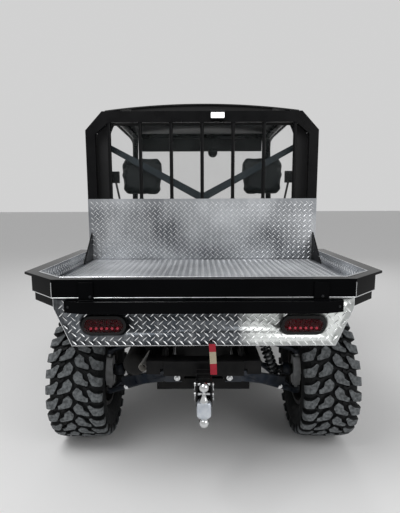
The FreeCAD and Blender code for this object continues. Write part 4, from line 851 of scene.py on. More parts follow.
@dataclass
class Bed(Assembly):
    """The flat cargo bed: tread plate faces, black rails, cross bar and bright rods on the fascia's edges
    that paint its highlights.

    Attributes: straight, inner_straight and panel_bottom_half are the half lengths of the
    fascia, the tray's back wall and the tail panel's foot; wall_inner and skirt are the half
    widths inside and outside the rails; panel_corner is where the panel's slanting edge starts.
    """
    body: str = "bed"
    straight: float = 0.629
    inner_straight: float = 0.610
    wall_inner: float = 0.747
    skirt: float = 0.768
    panel_corner: float = 0.893
    panel_bottom_half: float = 0.559
    wall_depth: float = 0.050
    lining: float = 0.0016
    grommet: float = 0.187

    DRESSED = (("bed_floor", FLOOR_PLATE, 0.0), ("tail_panel", TAIL_PLATE, 0.0),
               ("headboard_plate", PLATE, 0.001), ("bed_rails", BED_PAINT, 0.0022),
               ("cross_bar", BED_PAINT, 0.002), ("bed_frame", FRAME_PAINT, 0.002),
               ("gussets", CAGE_PAINT, 0.0015))

    def pieces(self) -> None:
        """Build every piece of the bed."""
        self.floor()
        self.headboard()
        self.tail()
        self.side_lining()
        self.seams()
        self.fasteners()

    def floor(self) -> None:
        """The lugs on the floor, inside the walls and behind the gussets."""
        low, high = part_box("bed_floor")
        wall, gusset = self.wall_inner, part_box("gussets")[0].y
        right = [(self.inner_straight, low.y), (wall - 0.002, low.y + wall - self.inner_straight),
                 (wall - 0.002, gusset), (wall - 0.01, gusset), (wall - 0.01, high.y - 0.004)]
        # The floor's second family is painted dimmer still: painted shade.
        lugs = Lugs(second=0.55).lay(Form(), (0, 0, high.z), RIGHT, AHEAD, mirrored(right))
        lugs.piece("floor_lugs", FLOOR_PLATE, self.body)

    def headboard(self) -> None:
        """The headboard's lugs and its bright top edge."""
        low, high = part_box("headboard_plate")
        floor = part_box("bed_floor")[1].z
        outline = [(low.x, floor), (high.x, floor), (high.x, high.z), (low.x, high.z)]
        form = Lugs().lay(Form(), (0, low.y, 0), RIGHT, UP, outline)
        form.box((low.x, low.y - 0.0008, high.z - 0.0005), (high.x, high.y + 0.0005, high.z + 0.0006))
        form.piece("headboard_lugs", PLATE, self.body)

    def tail(self) -> None:
        """The tail panel's lugs, clear of the lamps, and its bright cut edge."""
        low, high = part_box("tail_panel")
        near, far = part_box("lamp_grommets")
        holes = [stadium(side * (far.x - self.grommet / 2), (near.z + far.z) / 2, self.grommet,
                         far.z - near.z) for side in SIDES]
        outline = mirrored([(self.straight, high.z), (self.straight, self.panel_corner),
                            (self.panel_bottom_half, low.z)])
        lugs = Lugs(first=(0.0115, low.z + 0.013))
        lugs.lay(Form(), (0, low.y, 0), RIGHT, UP, outline, holes).piece("panel_lugs", TAIL_PLATE, self.body)
        edge = Form().rods([(x, low.y + 0.0012, z) for x, z in outline], 0.0016)
        edge.piece("panel_edge", BARE_EDGE_AND_HIGHLIGHT, self.body)

    def side_lining(self) -> None:
        """The tread plate inside the side walls, with its bright top edge."""
        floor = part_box("bed_floor")[1].z
        low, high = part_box("bed_rails")
        back, front = low.y + self.wall_depth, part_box("headboard_plate")[0].y - 0.001
        wall = self.wall_inner
        route = mirrored([(wall, front), (wall, back + wall - self.inner_straight),
                          (self.inner_straight, back)])
        sheet, faces, lugs = Form(), Form(), Lugs()
        for one, two in zip(route, route[1:]):
            start, end = Vector(one), Vector(two)
            run, rise = (end - start).length, high.z - floor
            way = (end - start) / run
            inward = Vector((way.y, -way.x))
            skin = inward * self.lining
            sheet.prism([start, end, end + skin, start + skin], "Z", floor, high.z + 0.001)
            sheet.prism([start - inward * 0.007, end - inward * 0.007, end + skin, start + skin], "Z",
                        high.z + 0.0002, high.z + 0.0012)
            span = [(0.004, 0.0), (run - 0.004, 0.0), (run - 0.004, rise), (0.004, rise)]
            lugs.lay(faces, (*(start + skin), floor), (*way, 0), UP, span)
        sheet.piece("wall_lining", PLATE, self.body)
        faces.piece("wall_lugs", PLATE, self.body)
        rim = Form().rods([(x, y, high.z + 0.0012) for x, y in route], 0.0013)
        rim.piece("wall_top_edge", BARE_EDGE_AND_HIGHLIGHT, self.body)

    def seams(self) -> None:
        """Bright rods under the fascia and up its rear corners: painted highlights on those edges."""
        low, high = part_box("bed_rails")
        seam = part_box("bed_floor")[0].z
        route = mirrored([(self.skirt, high.y), (self.skirt, low.y + self.skirt - self.straight),
                          (self.straight, low.y)])
        form = Form().rods([(x, y, seam) for x, y in route], 0.0018)
        for side in SIDES:
            x = side * self.straight
            form.rods([(x, low.y, seam), (x, low.y, high.z - 0.013)], 0.0016)
        form.piece("fascia_painted_highlights", BARE_EDGE_AND_HIGHLIGHT, self.body)

    def fasteners(self) -> None:
        """Bolts on the hangers and the bar's ends, and the weld beads by the hangers."""
        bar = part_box("cross_bar")[0].y + 0.0185
        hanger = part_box("bed_rails")[0].y - 0.008
        bolts, beads = Form(), Form()
        for x in (-0.467, 0.489):
            bolts.bolt((x, hanger, 0.948), BACK, 0.0042)
        for side in SIDES:
            bolts.bolt((side * 0.556, bar, 0.908), (side * 0.3, -1, 0), 0.0038)
            for x in (side * 0.456, side * 0.514):
                beads.rods([(x, hanger + 0.004, 0.934), (x, hanger + 0.004, 1.006)], 0.0028)
        bolts.piece("hanger_bolts", GREY_ALLOY, self.body)
        beads.piece("hanger_welds", BED_PAINT, self.body)


@dataclass
class TailLamps(Assembly):
    """Oval red lamps in black grommets, with a bright lower row of diodes and a dim upper one."""
    body: str = "bed"
    length: float = 0.165
    height: float = 0.057
    grommet: float = 0.187
    columns: int = 6
    spacing: float = 0.0225
    diode: float = 0.0058

    # how far each ring stands out from the lens, and its depth from the panel
    RUBBER = ((-0.001, 0.004), (0.0, -0.002), (0.006, -0.001), (0.0115, 0.0005), (0.0118, 0.008))
    DOME = ((0.0, 0.002), (-0.0006, -0.003), (-0.004, -0.0055), (-0.012, -0.007))
    PLATE = ((0.0, 0.010), (0.0, 0.014))

    def pieces(self) -> None:
        """Build both lamps."""
        low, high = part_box("lamp_grommets")
        z = (low.z + high.z) / 2
        rubber, back, lens, bright, dim = (Form() for _ in range(5))
        size = self.diode
        profile = [(0, size), (0.0035, size * 0.85), (0.0055, size * 0.5), (0.0062, 0)]
        for side in SIDES:
            x = side * (high.x - self.grommet / 2)
            for form, rings in ((rubber, self.RUBBER), (back, self.PLATE), (lens, self.DOME)):
                form.loft(([(a, low.y + depth, b) for a, b in
                            stadium(x, z, self.length + 2 * grow, self.height + 2 * grow, 12)]
                           for grow, depth in rings), caps=form is not rubber)
            for lift, diodes in ((-0.0150, bright), (0.0125, dim)):
                for column in range(self.columns):
                    shift = (column - (self.columns - 1) / 2) * self.spacing
                    diodes.turned(profile, (x + shift, low.y + 0.0095, z + lift), BACK, 14)
        rubber.piece("lamp_rubber", SOFT_RUBBER, self.body, ("lamp_grommets",))
        back.piece("lamp_back_plate", LAMP_BACK, self.body)
        bright.piece("lamp_diodes", LED, self.body)
        dim.piece("lamp_dim_diodes", DIM_LED, self.body)
        lens.piece("lamp_lens", RED_LENS, self.body, ("tail_lamps",))


@dataclass
class Rack(Assembly):
    """The barred rack with its work lamp."""
    body: str = "bed"
    bars: int = 7
    spacing: float = 0.203
    fins: int = 8

    DRESSED = (("rack_frame", CAGE_PAINT, 0.0025),)

    def pieces(self) -> None:
        """Build the weld collars at both ends of the bars, and the lamp."""
        low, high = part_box("rack_frame")
        welds = Form()
        for count in range(self.bars):
            x = self.spacing * (count - (self.bars - 1) // 2)
            for z, flare in ((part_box("headboard_plate")[1].z, 1), (high.z - 0.070, -1)):
                welds.turned([(0.0, 0.0155), (0.003, 0.0145), (0.006, 0.0122)],
                             (x, (low.y + high.y) / 2, z), (0, 0, flare), 16)
        welds.piece("rack_bar_welds", CAGE_PAINT, self.body)
        self.lamp()

    def lamp(self) -> None:
        """The lit work lamp, with its finned housing and its barred bezel."""
        low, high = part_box("work_lamp")
        wide, brow = high.x - low.x, high.z - 0.017
        form = Form().box((low.x, low.y + 0.008, low.z), (high.x, low.y + 0.024, high.z))
        for fin in range(self.fins):
            x = low.x + 0.006 + fin * (wide - 0.016) / (self.fins - 1)
            form.box((x, low.y + 0.020, low.z + 0.004), (x + 0.004, high.y, high.z - 0.004))
        form.piece("work_lamp_body", PLASTIC, self.body, ("work_lamp",), bevel=0.001)
        lens = Form().box((low.x + 0.005, low.y + 0.001, low.z + 0.005),
                          (high.x - 0.005, low.y + 0.010, brow))
        lens.piece("work_lamp_lens", LIT_LENS, self.body, bevel=0.003)
        bezel = Form().box((low.x, low.y, brow), (high.x, low.y + 0.010, high.z))
        for x in (low.x + wide / 3, low.x + wide * 2 / 3):
            bezel.box((x - 0.002, low.y, low.z + 0.006), (x + 0.002, low.y + 0.004, brow))
        bezel.piece("work_lamp_bezel", PLASTIC, self.body, bevel=0.001)


# The wheels

@dataclass
class WheelPart(Assembly):
    """A part of one wheel, at its end and on its side of the vehicle."""
    end: str = "rear"
    side: str = "left"

    def __post_init__(self) -> None:
        """Find the wheel's body."""
        self.place = f"{self.end}_{self.side}"
        self.body = f"wheel_{self.place}"

    def middle(self, kind: str) -> Vector:
        """The middle of the tyre's or the rim's node."""
        low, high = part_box(f"{kind}_{self.place}")
        return (low + high) / 2


@dataclass
class Tyre(WheelPart):
    """A mud tyre: carcass, pointed centre blocks and overhanging shoulder blocks in a chevron."""
    pitches: int = 27
    steps: int = 108
    draft: float = 0.003
    sunk: float = 0.003
    mean_radius: float = 0.345

    # distance along the tread from its middle; x and radius of the blocks' tops, then the grooves'
    SKIN = ((0.0, 0.0, 0.3550, 0.0, 0.3365), (0.100, 0.100, 0.3525, 0.096, 0.3345),
            (0.132, 0.131, 0.3470, 0.118, 0.3270), (0.146, 0.1425, 0.3385, 0.127, 0.3180),
            (0.166, 0.1445, 0.3180, 0.133, 0.3020), (0.190, 0.1405, 0.2945, 0.1375, 0.2900))
    # below the grooves: x and radius down to the bead
    WALL = ((0.1385, 0.2790), (0.1390, 0.2600), (0.1360, 0.2420), (0.1290, 0.2240),
            (0.1190, 0.2090), (0.1110, 0.2000), (0.1040, 0.1960), (0.1000, 0.1925))
    # each block's stations: distance along the tread, low and high edge round the tyre, lift
    CENTRE = ((0.002, -0.012, 0.001, 1.0), (0.013, -0.035, 0.013, 1.0), (0.022, -0.040, 0.022, 1.0),
              (0.047, -0.047, 0.004, 1.0), (0.052, -0.049, -0.018, 1.0), (0.066, -0.052, -0.028, 1.0),
              (0.076, -0.051, -0.033, 1.0))
    SHOULDER = ((0.073, 0.000, 0.007, 1.0), (0.083, -0.025, 0.010, 1.0), (0.096, -0.050, -0.001, 1.0),
                (0.110, -0.054, -0.009, 1.0), (0.132, -0.056, -0.013, 1.0), (0.144, -0.056, -0.014, 1.0),
                (0.152, -0.055, -0.015, 1.0), (0.168, -0.050, -0.018, 0.9), (0.186, -0.042, -0.022, 0.5))
    TIE = ((0.050, 0.014, 0.026, 0.45), (0.070, 0.000, 0.016, 0.45), (0.088, 0.018, 0.030, 0.40),
           (0.112, 0.008, 0.020, 0.35))
    # the sidewall's rings: radius, half width
    RINGS = ((0.214, 0.0010), (0.236, 0.0013), (0.268, 0.0010))

    def pieces(self) -> None:
        """Build the tyre where its node stands."""
        centre = self.middle("tyre")
        half = [(x, radius) for _, _, _, x, radius in self.SKIN] + list(self.WALL)
        profile = [(-x, radius) for x, radius in reversed(half)] + half[1:]
        inner = [(0.094, 0.1925), (0.094, 0.205), (0.0, 0.300), (-0.094, 0.205), (-0.094, 0.1925)]
        form = Form().turned(profile + inner, centre, RIGHT, self.steps, ring=True)
        wall = np.array(self.WALL)[::-1]
        for radius, wide in self.RINGS:
            x = float(np.interp(radius, wall[:, 1], wall[:, 0]))
            for sign in SIDES:
                form.turned([(sign * (x + out * 0.0013), radius + rise) for out, rise in
                             ((-1, -3 * wide), (1, -wide), (1, wide), (-1, 3 * wide))],
                            centre, RIGHT, 72, ring=True)
        turn = 2 * math.pi / self.pitches
        for count in range(self.pitches):
            for sign, stagger in ((-1, 0.0), (1, 0.5)):
                for block in (self.CENTRE, self.SHOULDER, self.TIE):
                    self.block(form, centre, block, sign, (count + stagger) * turn)
        form.piece(f"tread_{self.place}", TYRE, self.body, (f"tyre_{self.place}",), smooth=26.0)

    def block(self, form: Form, centre: Vector, block: Sequence[tuple[float, float, float, float]],
              sign: int, start: float) -> None:
        """Add one tread block.

        Args:
            form: what it is added to.
            centre: the wheel's middle.
            block: the block's stations.
            sign: -1 for the left half of the tread and 1 for the right.
            start: the block's angle round the tyre.
        """
        skin = np.array(self.SKIN)
        rings = []
        for along, low, high, lift in block:
            top_x, top, floor_x, floor = (float(np.interp(along, skin[:, 0], skin[:, k]))
                                          for k in (1, 2, 3, 4))
            top_x, top = floor_x + (top_x - floor_x) * lift, floor + (top - floor) * lift
            base_x, base = floor_x - self.sunk * (along > 0.14), floor - self.sunk
            ring = []
            for edge, x, radius in ((low - self.draft, base_x, base), (low, top_x, top),
                                    (high, top_x, top), (high + self.draft, base_x, base)):
                angle = start + edge / self.mean_radius
                ring.append((centre.x + sign * x, centre.y - radius * math.cos(angle),
                             centre.z + radius * math.sin(angle)))
            rings.append(ring)
        form.loft(rings, raised=[share for *_, lift in block for share in (0.0, lift, lift, 0.0)])


@dataclass
class Rim(WheelPart):
    """A six-spoke rim with a bolted outer ring."""
    spokes: int = 6
    half: float = 0.107
    radius: float = 0.178
    wall: float = 0.007
    lip: float = 0.0138
    bolts: int = 16
    bolt_circle: float = 0.1845
    nuts: int = 4
    nut_circle: float = 0.046

    # each spoke's stations: radius, half width, front, back
    SPOKE = ((0.050, 0.027, 0.084, 0.056), (0.078, 0.0245, 0.081, 0.058),
             (0.128, 0.028, 0.080, 0.060), (0.148, 0.036, 0.082, 0.062),
             (0.158, 0.057, 0.084, 0.064), (0.172, 0.080, 0.086, 0.066))
    HUB = ((0.020, 0.0245), (0.020, 0.056), (0.074, 0.060), (0.084, 0.055), (0.086, 0.036),
           (0.0865, 0.0245))
    NUT = ((0, 0), (0, 0.0105), (0.016, 0.0098), (0.019, 0.006), (0.019, 0))
    CAP = ((0.086, 0.026), (0.094, 0.025), (0.0975, 0.019), (0.0985, 0))

    def pieces(self) -> None:
        """Build the rim where its node stands."""
        centre = self.middle("rim")
        out = 1 if self.side == "right" else -1
        half, well, bead = self.half, self.radius - self.wall, self.radius + self.lip
        barrel = [(-half, well), (-0.060, well - 0.004), (0.050, well - 0.004), (0.088, well),
                  (half, well), (half, bead), (half - 0.006, bead), (half - 0.010, self.radius),
                  (0.06, self.radius - 0.004), (-0.06, self.radius - 0.004),
                  (0.010 - half, self.radius), (0.006 - half, bead), (-half, bead)]
        form, trim = Form(), Form()
        for target, profile, steps, ring in ((form, barrel, 72, True), (form, self.HUB, 40, True),
                                             (trim, self.CAP, 32, False)):
            target.turned([(along * out, radius) for along, radius in profile], centre, RIGHT, steps, ring)
        for count in range(self.spokes):
            self.spoke(form, centre, out, 2 * math.pi * (count + 0.5) / self.spokes)
        for count in range(self.bolts):
            spot = self.round(centre, out * half, self.bolt_circle, (count + 0.5) / self.bolts)
            trim.bolt(spot, (out, 0, 0), 0.0042, washer=False)
        for count in range(self.nuts):
            spot = self.round(centre, out * 0.085, self.nut_circle, (count + 0.5) / self.nuts)
            trim.turned([(along * out, radius) for along, radius in self.NUT], spot, RIGHT, 6)
        form.piece(f"rim_{self.place}_alloy", RIM_PAINT, self.body, (f"rim_{self.place}",), bevel=0.0012)
        trim.piece(f"rim_{self.place}_nuts", BRIGHT_STEEL, self.body)

    @staticmethod
    def round(centre: Vector, x: float, radius: float, share: float) -> Vector:
        """A place at a share of the way round the wheel."""
        angle = 2 * math.pi * share
        return centre + Vector((x, radius * math.cos(angle), radius * math.sin(angle)))

    def spoke(self, form: Form, centre: Vector, out: int, angle: float) -> None:
        """Add one spoke: a waisted, crowned bar from the hub to the barrel.

        Args:
            form: what it is added to.
            centre: the wheel's middle.
            out: 1 on the right wheel and -1 on the left.
            angle: its direction round the wheel.
        """
        rings = []
        for radius, wide, face, back in self.SPOKE:
            half = [(1.0, back), (1.0, face - 0.006), (0.62, face), (0.2, face - 0.002)]
            ring = []
            for across, along in [(-a, b) for a, b in half] + half[::-1]:
                y = across * wide
                z = math.sqrt(max(radius * radius - y * y, 1e-6))
                ring.append((centre.x + out * along,
                             centre.y + y * math.cos(angle) + z * math.sin(angle),
                             centre.z - y * math.sin(angle) + z * math.cos(angle)))
            rings.append(ring)
        form.loft(rings)


# Below the body

@dataclass
class Chassis(Assembly):
    """Frame, arms, shocks, shafts, uprights and steering.

    Attributes: foot and head are the shocks' lower and upper ends across the vehicle, and
    offset is how far they stand from the axle.
    """
    rear_axle: float = -0.8985
    front_axle: float = 1.1585
    axle_height: float = 0.355
    drive_height: float = 0.434
    kingpin: float = 0.548
    foot: float = 0.430
    head: float = 0.312
    head_height: float = 0.632
    offset: float = 0.044
    turns: float = 8.5

    DRESSED = (("chassis_frame", FRAME_PAINT, 0.0025), ("skid_plate", PLASTIC, 0.001),
               ("engine_block", GREY_ALLOY, 0.012), ("final_drives", GREY_ALLOY, 0.014),
               ("half_shafts", ARM_PAINT, 0.0), ("suspension_arms", ARM_PAINT, 0.0),
               ("rear_hub_carriers", ALLOY, 0.003), ("knuckle_left", ALLOY, 0.0),
               ("knuckle_right", ALLOY, 0.0), ("tie_rods", ARM_PAINT, 0.0),
               ("steering_rack", GREY_ALLOY, 0.0))

    def pieces(self) -> None:
        """Build what is under the body."""
        self.shocks()
        self.boots()
        self.pivots()
        self.sleeves()

    def shocks(self) -> None:
        """Four coil springs over their dampers."""
        metal, coils = Form(), Form()
        for y, foot_z in ((self.rear_axle - self.offset, 0.310), (self.front_axle + self.offset, 0.288)):
            for side in SIDES:
                foot = np.array((side * self.foot, y, foot_z))
                head = np.array((side * self.head, y, self.head_height))
                way, span = unit(head - foot), length(head - foot)
                metal.turned([(0.0, 0.0085), (0.0, 0.017), (0.024, 0.017), (0.024, 0.0085)],
                             foot - (0, 0.012, 0), AHEAD, 24, ring=True)
                metal.turned([(-0.020, 0), (-0.020, 0.015), (0.020, 0.015), (0.020, 0)], head, AHEAD, 24)
                metal.turned([(0.012, 0), (0.016, 0.012), (0.045, 0.013), (0.048, 0.030),
                              (0.053, 0.031), (0.055, 0.021), (span * 0.55, 0.021),
                              (span * 0.56, 0.008), (span - 0.075, 0.008), (span - 0.072, 0.030),
                              (span - 0.066, 0.031), (span - 0.060, 0.014), (span - 0.010, 0.012),
                              (span - 0.008, 0)], foot, way, 28)
                across = unit(np.cross(way, AHEAD))
                over = np.cross(way, across)
                route = []
                for share in np.linspace(0, 1, int(self.turns * 20) + 1):
                    angle = 2 * math.pi * self.turns * share
                    route.append(foot + way * (0.056 + (span - 0.131) * share)
                                 + (across * math.cos(angle) + over * math.sin(angle)) * 0.0265)
                coils.tube(route, 0.0052, 8)
        metal.piece("damper_set", DAMPER, self.body, ("shocks",), smooth=40.0)
        coils.piece("spring_set", SPRING, self.body)

    def boots(self) -> None:
        """Ribbed rubber boots over the ends of the half shafts."""
        form = Form()
        for axle, inner, stand_off in ((self.rear_axle, 0.096, 0.0233), (self.front_axle, 0.1103, 0.0463)):
            for side in SIDES:
                start = np.array((side * inner, axle, self.drive_height))
                end = np.array((side * (self.kingpin - stand_off), axle, self.axle_height))
                way = unit(end - start)
                for base, facing, reach in ((start + way * (0.270 - inner), way, 0.066),
                                            (end - way * 0.008, -way, 0.056)):
                    profile = [(0.0, 0.0345)]
                    for fold in range(5):
                        along, radius = reach * (0.12 + 0.18 * fold), 0.0375 - 0.0035 * fold
                        profile += [(along, radius), (along + reach * 0.09, radius - 0.0055)]
                    profile += [(reach * 1.06, 0.0165), (reach * 1.14, 0.0165), (reach * 1.15, 0.013)]
                    form.turned(profile, base, facing, 28)
        form.piece("shaft_boots", SOFT_RUBBER, self.body, smooth=50.0)

    def pivots(self) -> None:
        """Bright bolt heads at the arms' inner, outer and upper pivots."""
        form = Form()
        rear, front = self.rear_axle, self.front_axle
        for x, y, z, way in ((0.130, rear - 0.353, 0.470, BACK), (self.foot, rear - 0.112, 0.306, BACK),
                             (0.220, rear - 0.005, 0.5697, BACK), (0.270, front + 0.225, 0.360, AHEAD),
                             (self.foot, front + 0.092, 0.288, AHEAD),
                             (0.220, front + 0.005, 0.5697, AHEAD)):
            for side in SIDES:
                form.bolt((side * x, y, z), way, 0.0105)
        form.piece("pivot_bolts", BRIGHT_STEEL, self.body)

    def sleeves(self) -> None:
        """The boxed rear lower arms and the brackets that their inner bolts go through."""
        form = Form()
        section = [(-0.013, -0.027), (0.013, -0.027), (0.013, 0.027), (-0.013, 0.027)]
        for side in SIDES:
            form.box((side * 0.108, self.rear_axle - 0.350, 0.446),
                     (side * 0.190, self.rear_axle - 0.343, 0.500))
            route = [(side * x, self.rear_axle + y, z) for x, y, z in
                     ((0.160, -0.322, 0.474), (0.300, -0.210, 0.404), (0.452, -0.086, 0.326))]
            form.sweep(route, section, 1.0)
        form.piece("arm_sleeves", ARM_PAINT, self.body, bevel=0.003)


@dataclass
class TowGear(Assembly):
    """Drop block with two balls, its shank and pins, pull strap and exhaust.

    Attributes: ball is the balls' radius, upper and lower their heights, and block_low and
    block_top the ends of the block between them.
    """
    ball: float = 0.0208
    upper: float = 0.5876
    lower: float = 0.4350
    block_low: float = 0.4575
    block_top: float = 0.5270

    DRESSED = (("hitch_receiver", FRAME_PAINT, 0.003),)

    def pieces(self) -> None:
        """Build the tow gear and the exhaust."""
        self.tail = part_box("bed_rails")[0].y
        low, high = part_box("ball_mount")
        self.shank(high.y)
        self.balls(low.y + 0.027)
        self.pins(low.y + 0.047)
        self.strap()
        self.exhaust()

    def shank(self, front: float) -> None:
        """The dark shank, with the two cheeks and the web that hold the block."""
        tail = self.tail
        dark = Form().box((-0.025, tail - 0.045, 0.558), (0.025, front, 0.608))
        for side in SIDES:
            x = side * 0.0295
            dark.box((x - 0.004, tail - 0.072, 0.500), (x + 0.004, tail - 0.030, 0.612))
        dark.box((-0.033, tail - 0.050, 0.492), (0.033, tail - 0.034, 0.613))
        dark.piece("ball_shank", FRAME_PAINT, self.body, ("ball_mount",), bevel=0.002)

    def balls(self, y: float) -> None:
        """The chrome balls on their necks, and the satin block."""
        chrome = Form()
        flange = [(0.0, 0), (0.0, 0.0195), (0.005, 0.0195), (0.016, 0.0125), (0.028, 0.0082)]
        for z, way, base, thin, neck in ((self.upper, 1, self.block_top, 0.0065, flange),
                                         (self.lower, -1, self.block_low, 0.0115, [(0.0, 0), (0.0, 0.0135)])):
            gap, start = abs(z - base), -math.acos(thin / self.ball)
            profile = [*neck, (gap + self.ball * math.sin(start) - 0.001, thin)]
            for angle in np.linspace(start, math.pi / 2, 17):
                profile.append((gap + self.ball * math.sin(angle), self.ball * math.cos(angle)))
            chrome.turned(profile, (0, y, base), (0, 0, way), 40)
        chrome.piece("tow_balls", CHROME, self.body, smooth=50.0)
        low, top = self.block_low, self.block_top
        stations = ((low, 0.0185, 0.018), (low + 0.011, 0.0280, 0.025), (low + 0.016, 0.0285, 0.026),
                    (top - 0.007, 0.0285, 0.026), (top, 0.0235, 0.023))
        block = Form().loft([(half * 1.06 * squared(a, 0.5), y + 0.003 + deep * squared(b, 0.5), z)
                             for a, b in circle(40)] for z, half, deep in stations)
        block.piece("ball_block", SATIN, self.body)

    def pins(self, y: float) -> None:
        """Two bright pins through the cheeks, each with a ring at both ends."""
        form = Form()
        for z in (0.550, 0.592):
            form.turned([(-0.040, 0), (-0.040, 0.0075), (-0.037, 0.0085), (-0.0335, 0.0085),
                         (-0.0335, 0.0055), (0.036, 0.0055), (0.041, 0.0050), (0.042, 0)],
                        (0, y, z), RIGHT, 20)
            for x in (-0.0375, 0.0375):
                form.tube([(x, y + 0.010 * a, z - 0.004 + 0.011 * b) for a, b in circle(24)], 0.0014, 8, True)
                form.rods([(x, y - 0.008, z - 0.012), (x + math.copysign(0.002, x), y - 0.014, z - 0.020)],
                          0.0014, 8)
        form.piece("hitch_pins", BRIGHT_STEEL, self.body)

    def strap(self) -> None:
        """The flat pull strap that hangs beside the receiver, with folded, stitched ends."""
        low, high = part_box("pull_strap")
        middle, half = (low.x + high.x) / 2, (high.x - low.x) / 2 - 0.0015
        foot = low.z + 0.016
        rings = []
        for share in np.linspace(0, 1, 29):
            arch = math.sin(math.pi * share)
            x = middle + 0.0015 * math.sin(2.4 * share) - 0.013 + 0.006 * share
            y = (low.y + high.y) / 2 + 0.0035 * arch - 0.001
            thick = 0.0016 if share < 0.26 or share > 0.62 else 0.0009
            rings.append([(x + a * half, y + a * half * 0.10 * arch + b * thick,
                           high.z + (foot - high.z) * share)
                          for a, b in ((-1, -1), (1, -1), (1, 1), (-1, 1))])
        band = (foot + (high.z - foot) * 0.35, foot + (high.z - foot) * 0.74)
        weave = Webbing("strap_webbing", "strap_web", (0.42, 0.012, 0.030), (0.30, 0.008, 0.022),
                        relief=0.0004, band=band)
        Form().loft(rings).piece("pull_strap_web", weave, self.body, ("pull_strap",))

    def exhaust(self) -> None:
        """The black silencer with its seam rings and bracket, and the bright open tip."""
        low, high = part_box("exhaust")
        tail, x, z = self.tail, low.x + 0.055, low.z + 0.055
        can = Form().turned([(0.0, 0), (0.0, 0.034), (0.010, 0.050), (0.016, 0.055), (0.020, 0.0565),
                             (0.024, 0.055), (0.200, 0.055), (0.204, 0.0565), (0.208, 0.055),
                             (0.218, 0.034), (0.218, 0)], (x, tail + 0.200, z), AHEAD, 40)
        can.box((high.x - 0.045, tail + 0.300, z + 0.004), (high.x, tail + 0.330, high.z))
        can.piece("silencer", SILENCER, self.body, ("exhaust",), smooth=40.0)
        way = unit((-0.25, -1.0, -0.22))
        mouth = np.array((-0.264, tail + 0.212, z + 0.031)) + way * 0.072
        pipe = ((-0.115, 0.0190), (0.002, 0.0205), (0.003, 0.0195), (-0.0005, 0.0180), (-0.115, 0.0170))
        Form().turned(pipe, mouth, way, 36, ring=True).piece("exhaust_tip", EXHAUST, self.body)
        Form().turned([(-0.030, 0), (-0.030, 0.0178)], mouth, way, 32).piece("exhaust_bore", SOOT, self.body)


# The cab

@dataclass
class Roof(Assembly):
    """The crowned roof moulding with five ribs and a turned-down lip, and its rear seal."""
    crown: float = 0.042
    thick: float = 0.010
    rib: float = 0.011
    lip: float = 0.022
    columns: int = 67
    rib_half: float = 0.060
    rib_slope: float = 0.016

    RIBS = (-0.46, -0.23, 0.0, 0.23, 0.46)

    def pieces(self) -> None:
        """Build the moulding and the seal."""
        low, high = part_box("roof")
        half, thick = high.x, self.thick
        base = high.z - self.crown - thick - self.rib
        across = [half * (2 * k / (self.columns - 1) - 1) for k in range(self.columns)]
        arch = [self.crown * (1 - (x / half) ** 2) for x in across]
        ribs = [self.rib * max(0.0, min(1.0, (self.rib_half - min(abs(x - spot) for spot in self.RIBS))
                                        / self.rib_slope)) for x in across]
        # place along Y, drop, share of the crown, share of the ribs
        stations = ((low.y, 0.0, 1.0, 0.0), (low.y + 0.010, -0.002, 1.0, 0.0),
                    (low.y + 0.090, -0.002, 1.0, 0.0), (low.y + 0.150, 0.0, 1.0, 1.0),
                    (high.y - 0.190, 0.0, 1.0, 1.0), (high.y - 0.120, 0.006, 0.9, 0.4),
                    (high.y - 0.080, 0.012, 0.8, 0.0), (high.y - 0.012, 0.026, 0.55, 0.0),
                    (high.y, 0.031, 0.5, 0.0))
        rings = []
        for y, drop, share, ribbed in stations:
            foot = base - drop
            under = [(x, y, foot + bow * share) for x, bow in zip(across, arch) if abs(x) < half - thick]
            ring = [(x, y, foot + bow * share + thick + rise * ribbed)
                    for x, bow, rise in zip(across, arch, ribs)]
            rim = foot - self.lip
            rings.append([*ring, (half, y, rim), (half - thick, y, rim), *reversed(under),
                          (thick - half, y, rim), (-half, y, rim)])
        Form().loft(rings).piece("roof_shell", ROOF_PLASTIC, self.body, ("roof",), bevel=0.002, smooth=32.0)
        seal = [(x, base + bow + 0.001) for x, bow in zip(across, arch) if abs(x) < 0.5]
        seal += [(x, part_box("roll_cage")[1].z - 0.012) for x in (seal[-1][0], seal[0][0])]
        Form().prism(seal, "Y", low.y + 0.012, low.y + 0.020).piece("roof_seal", SOFT_RUBBER, self.body)


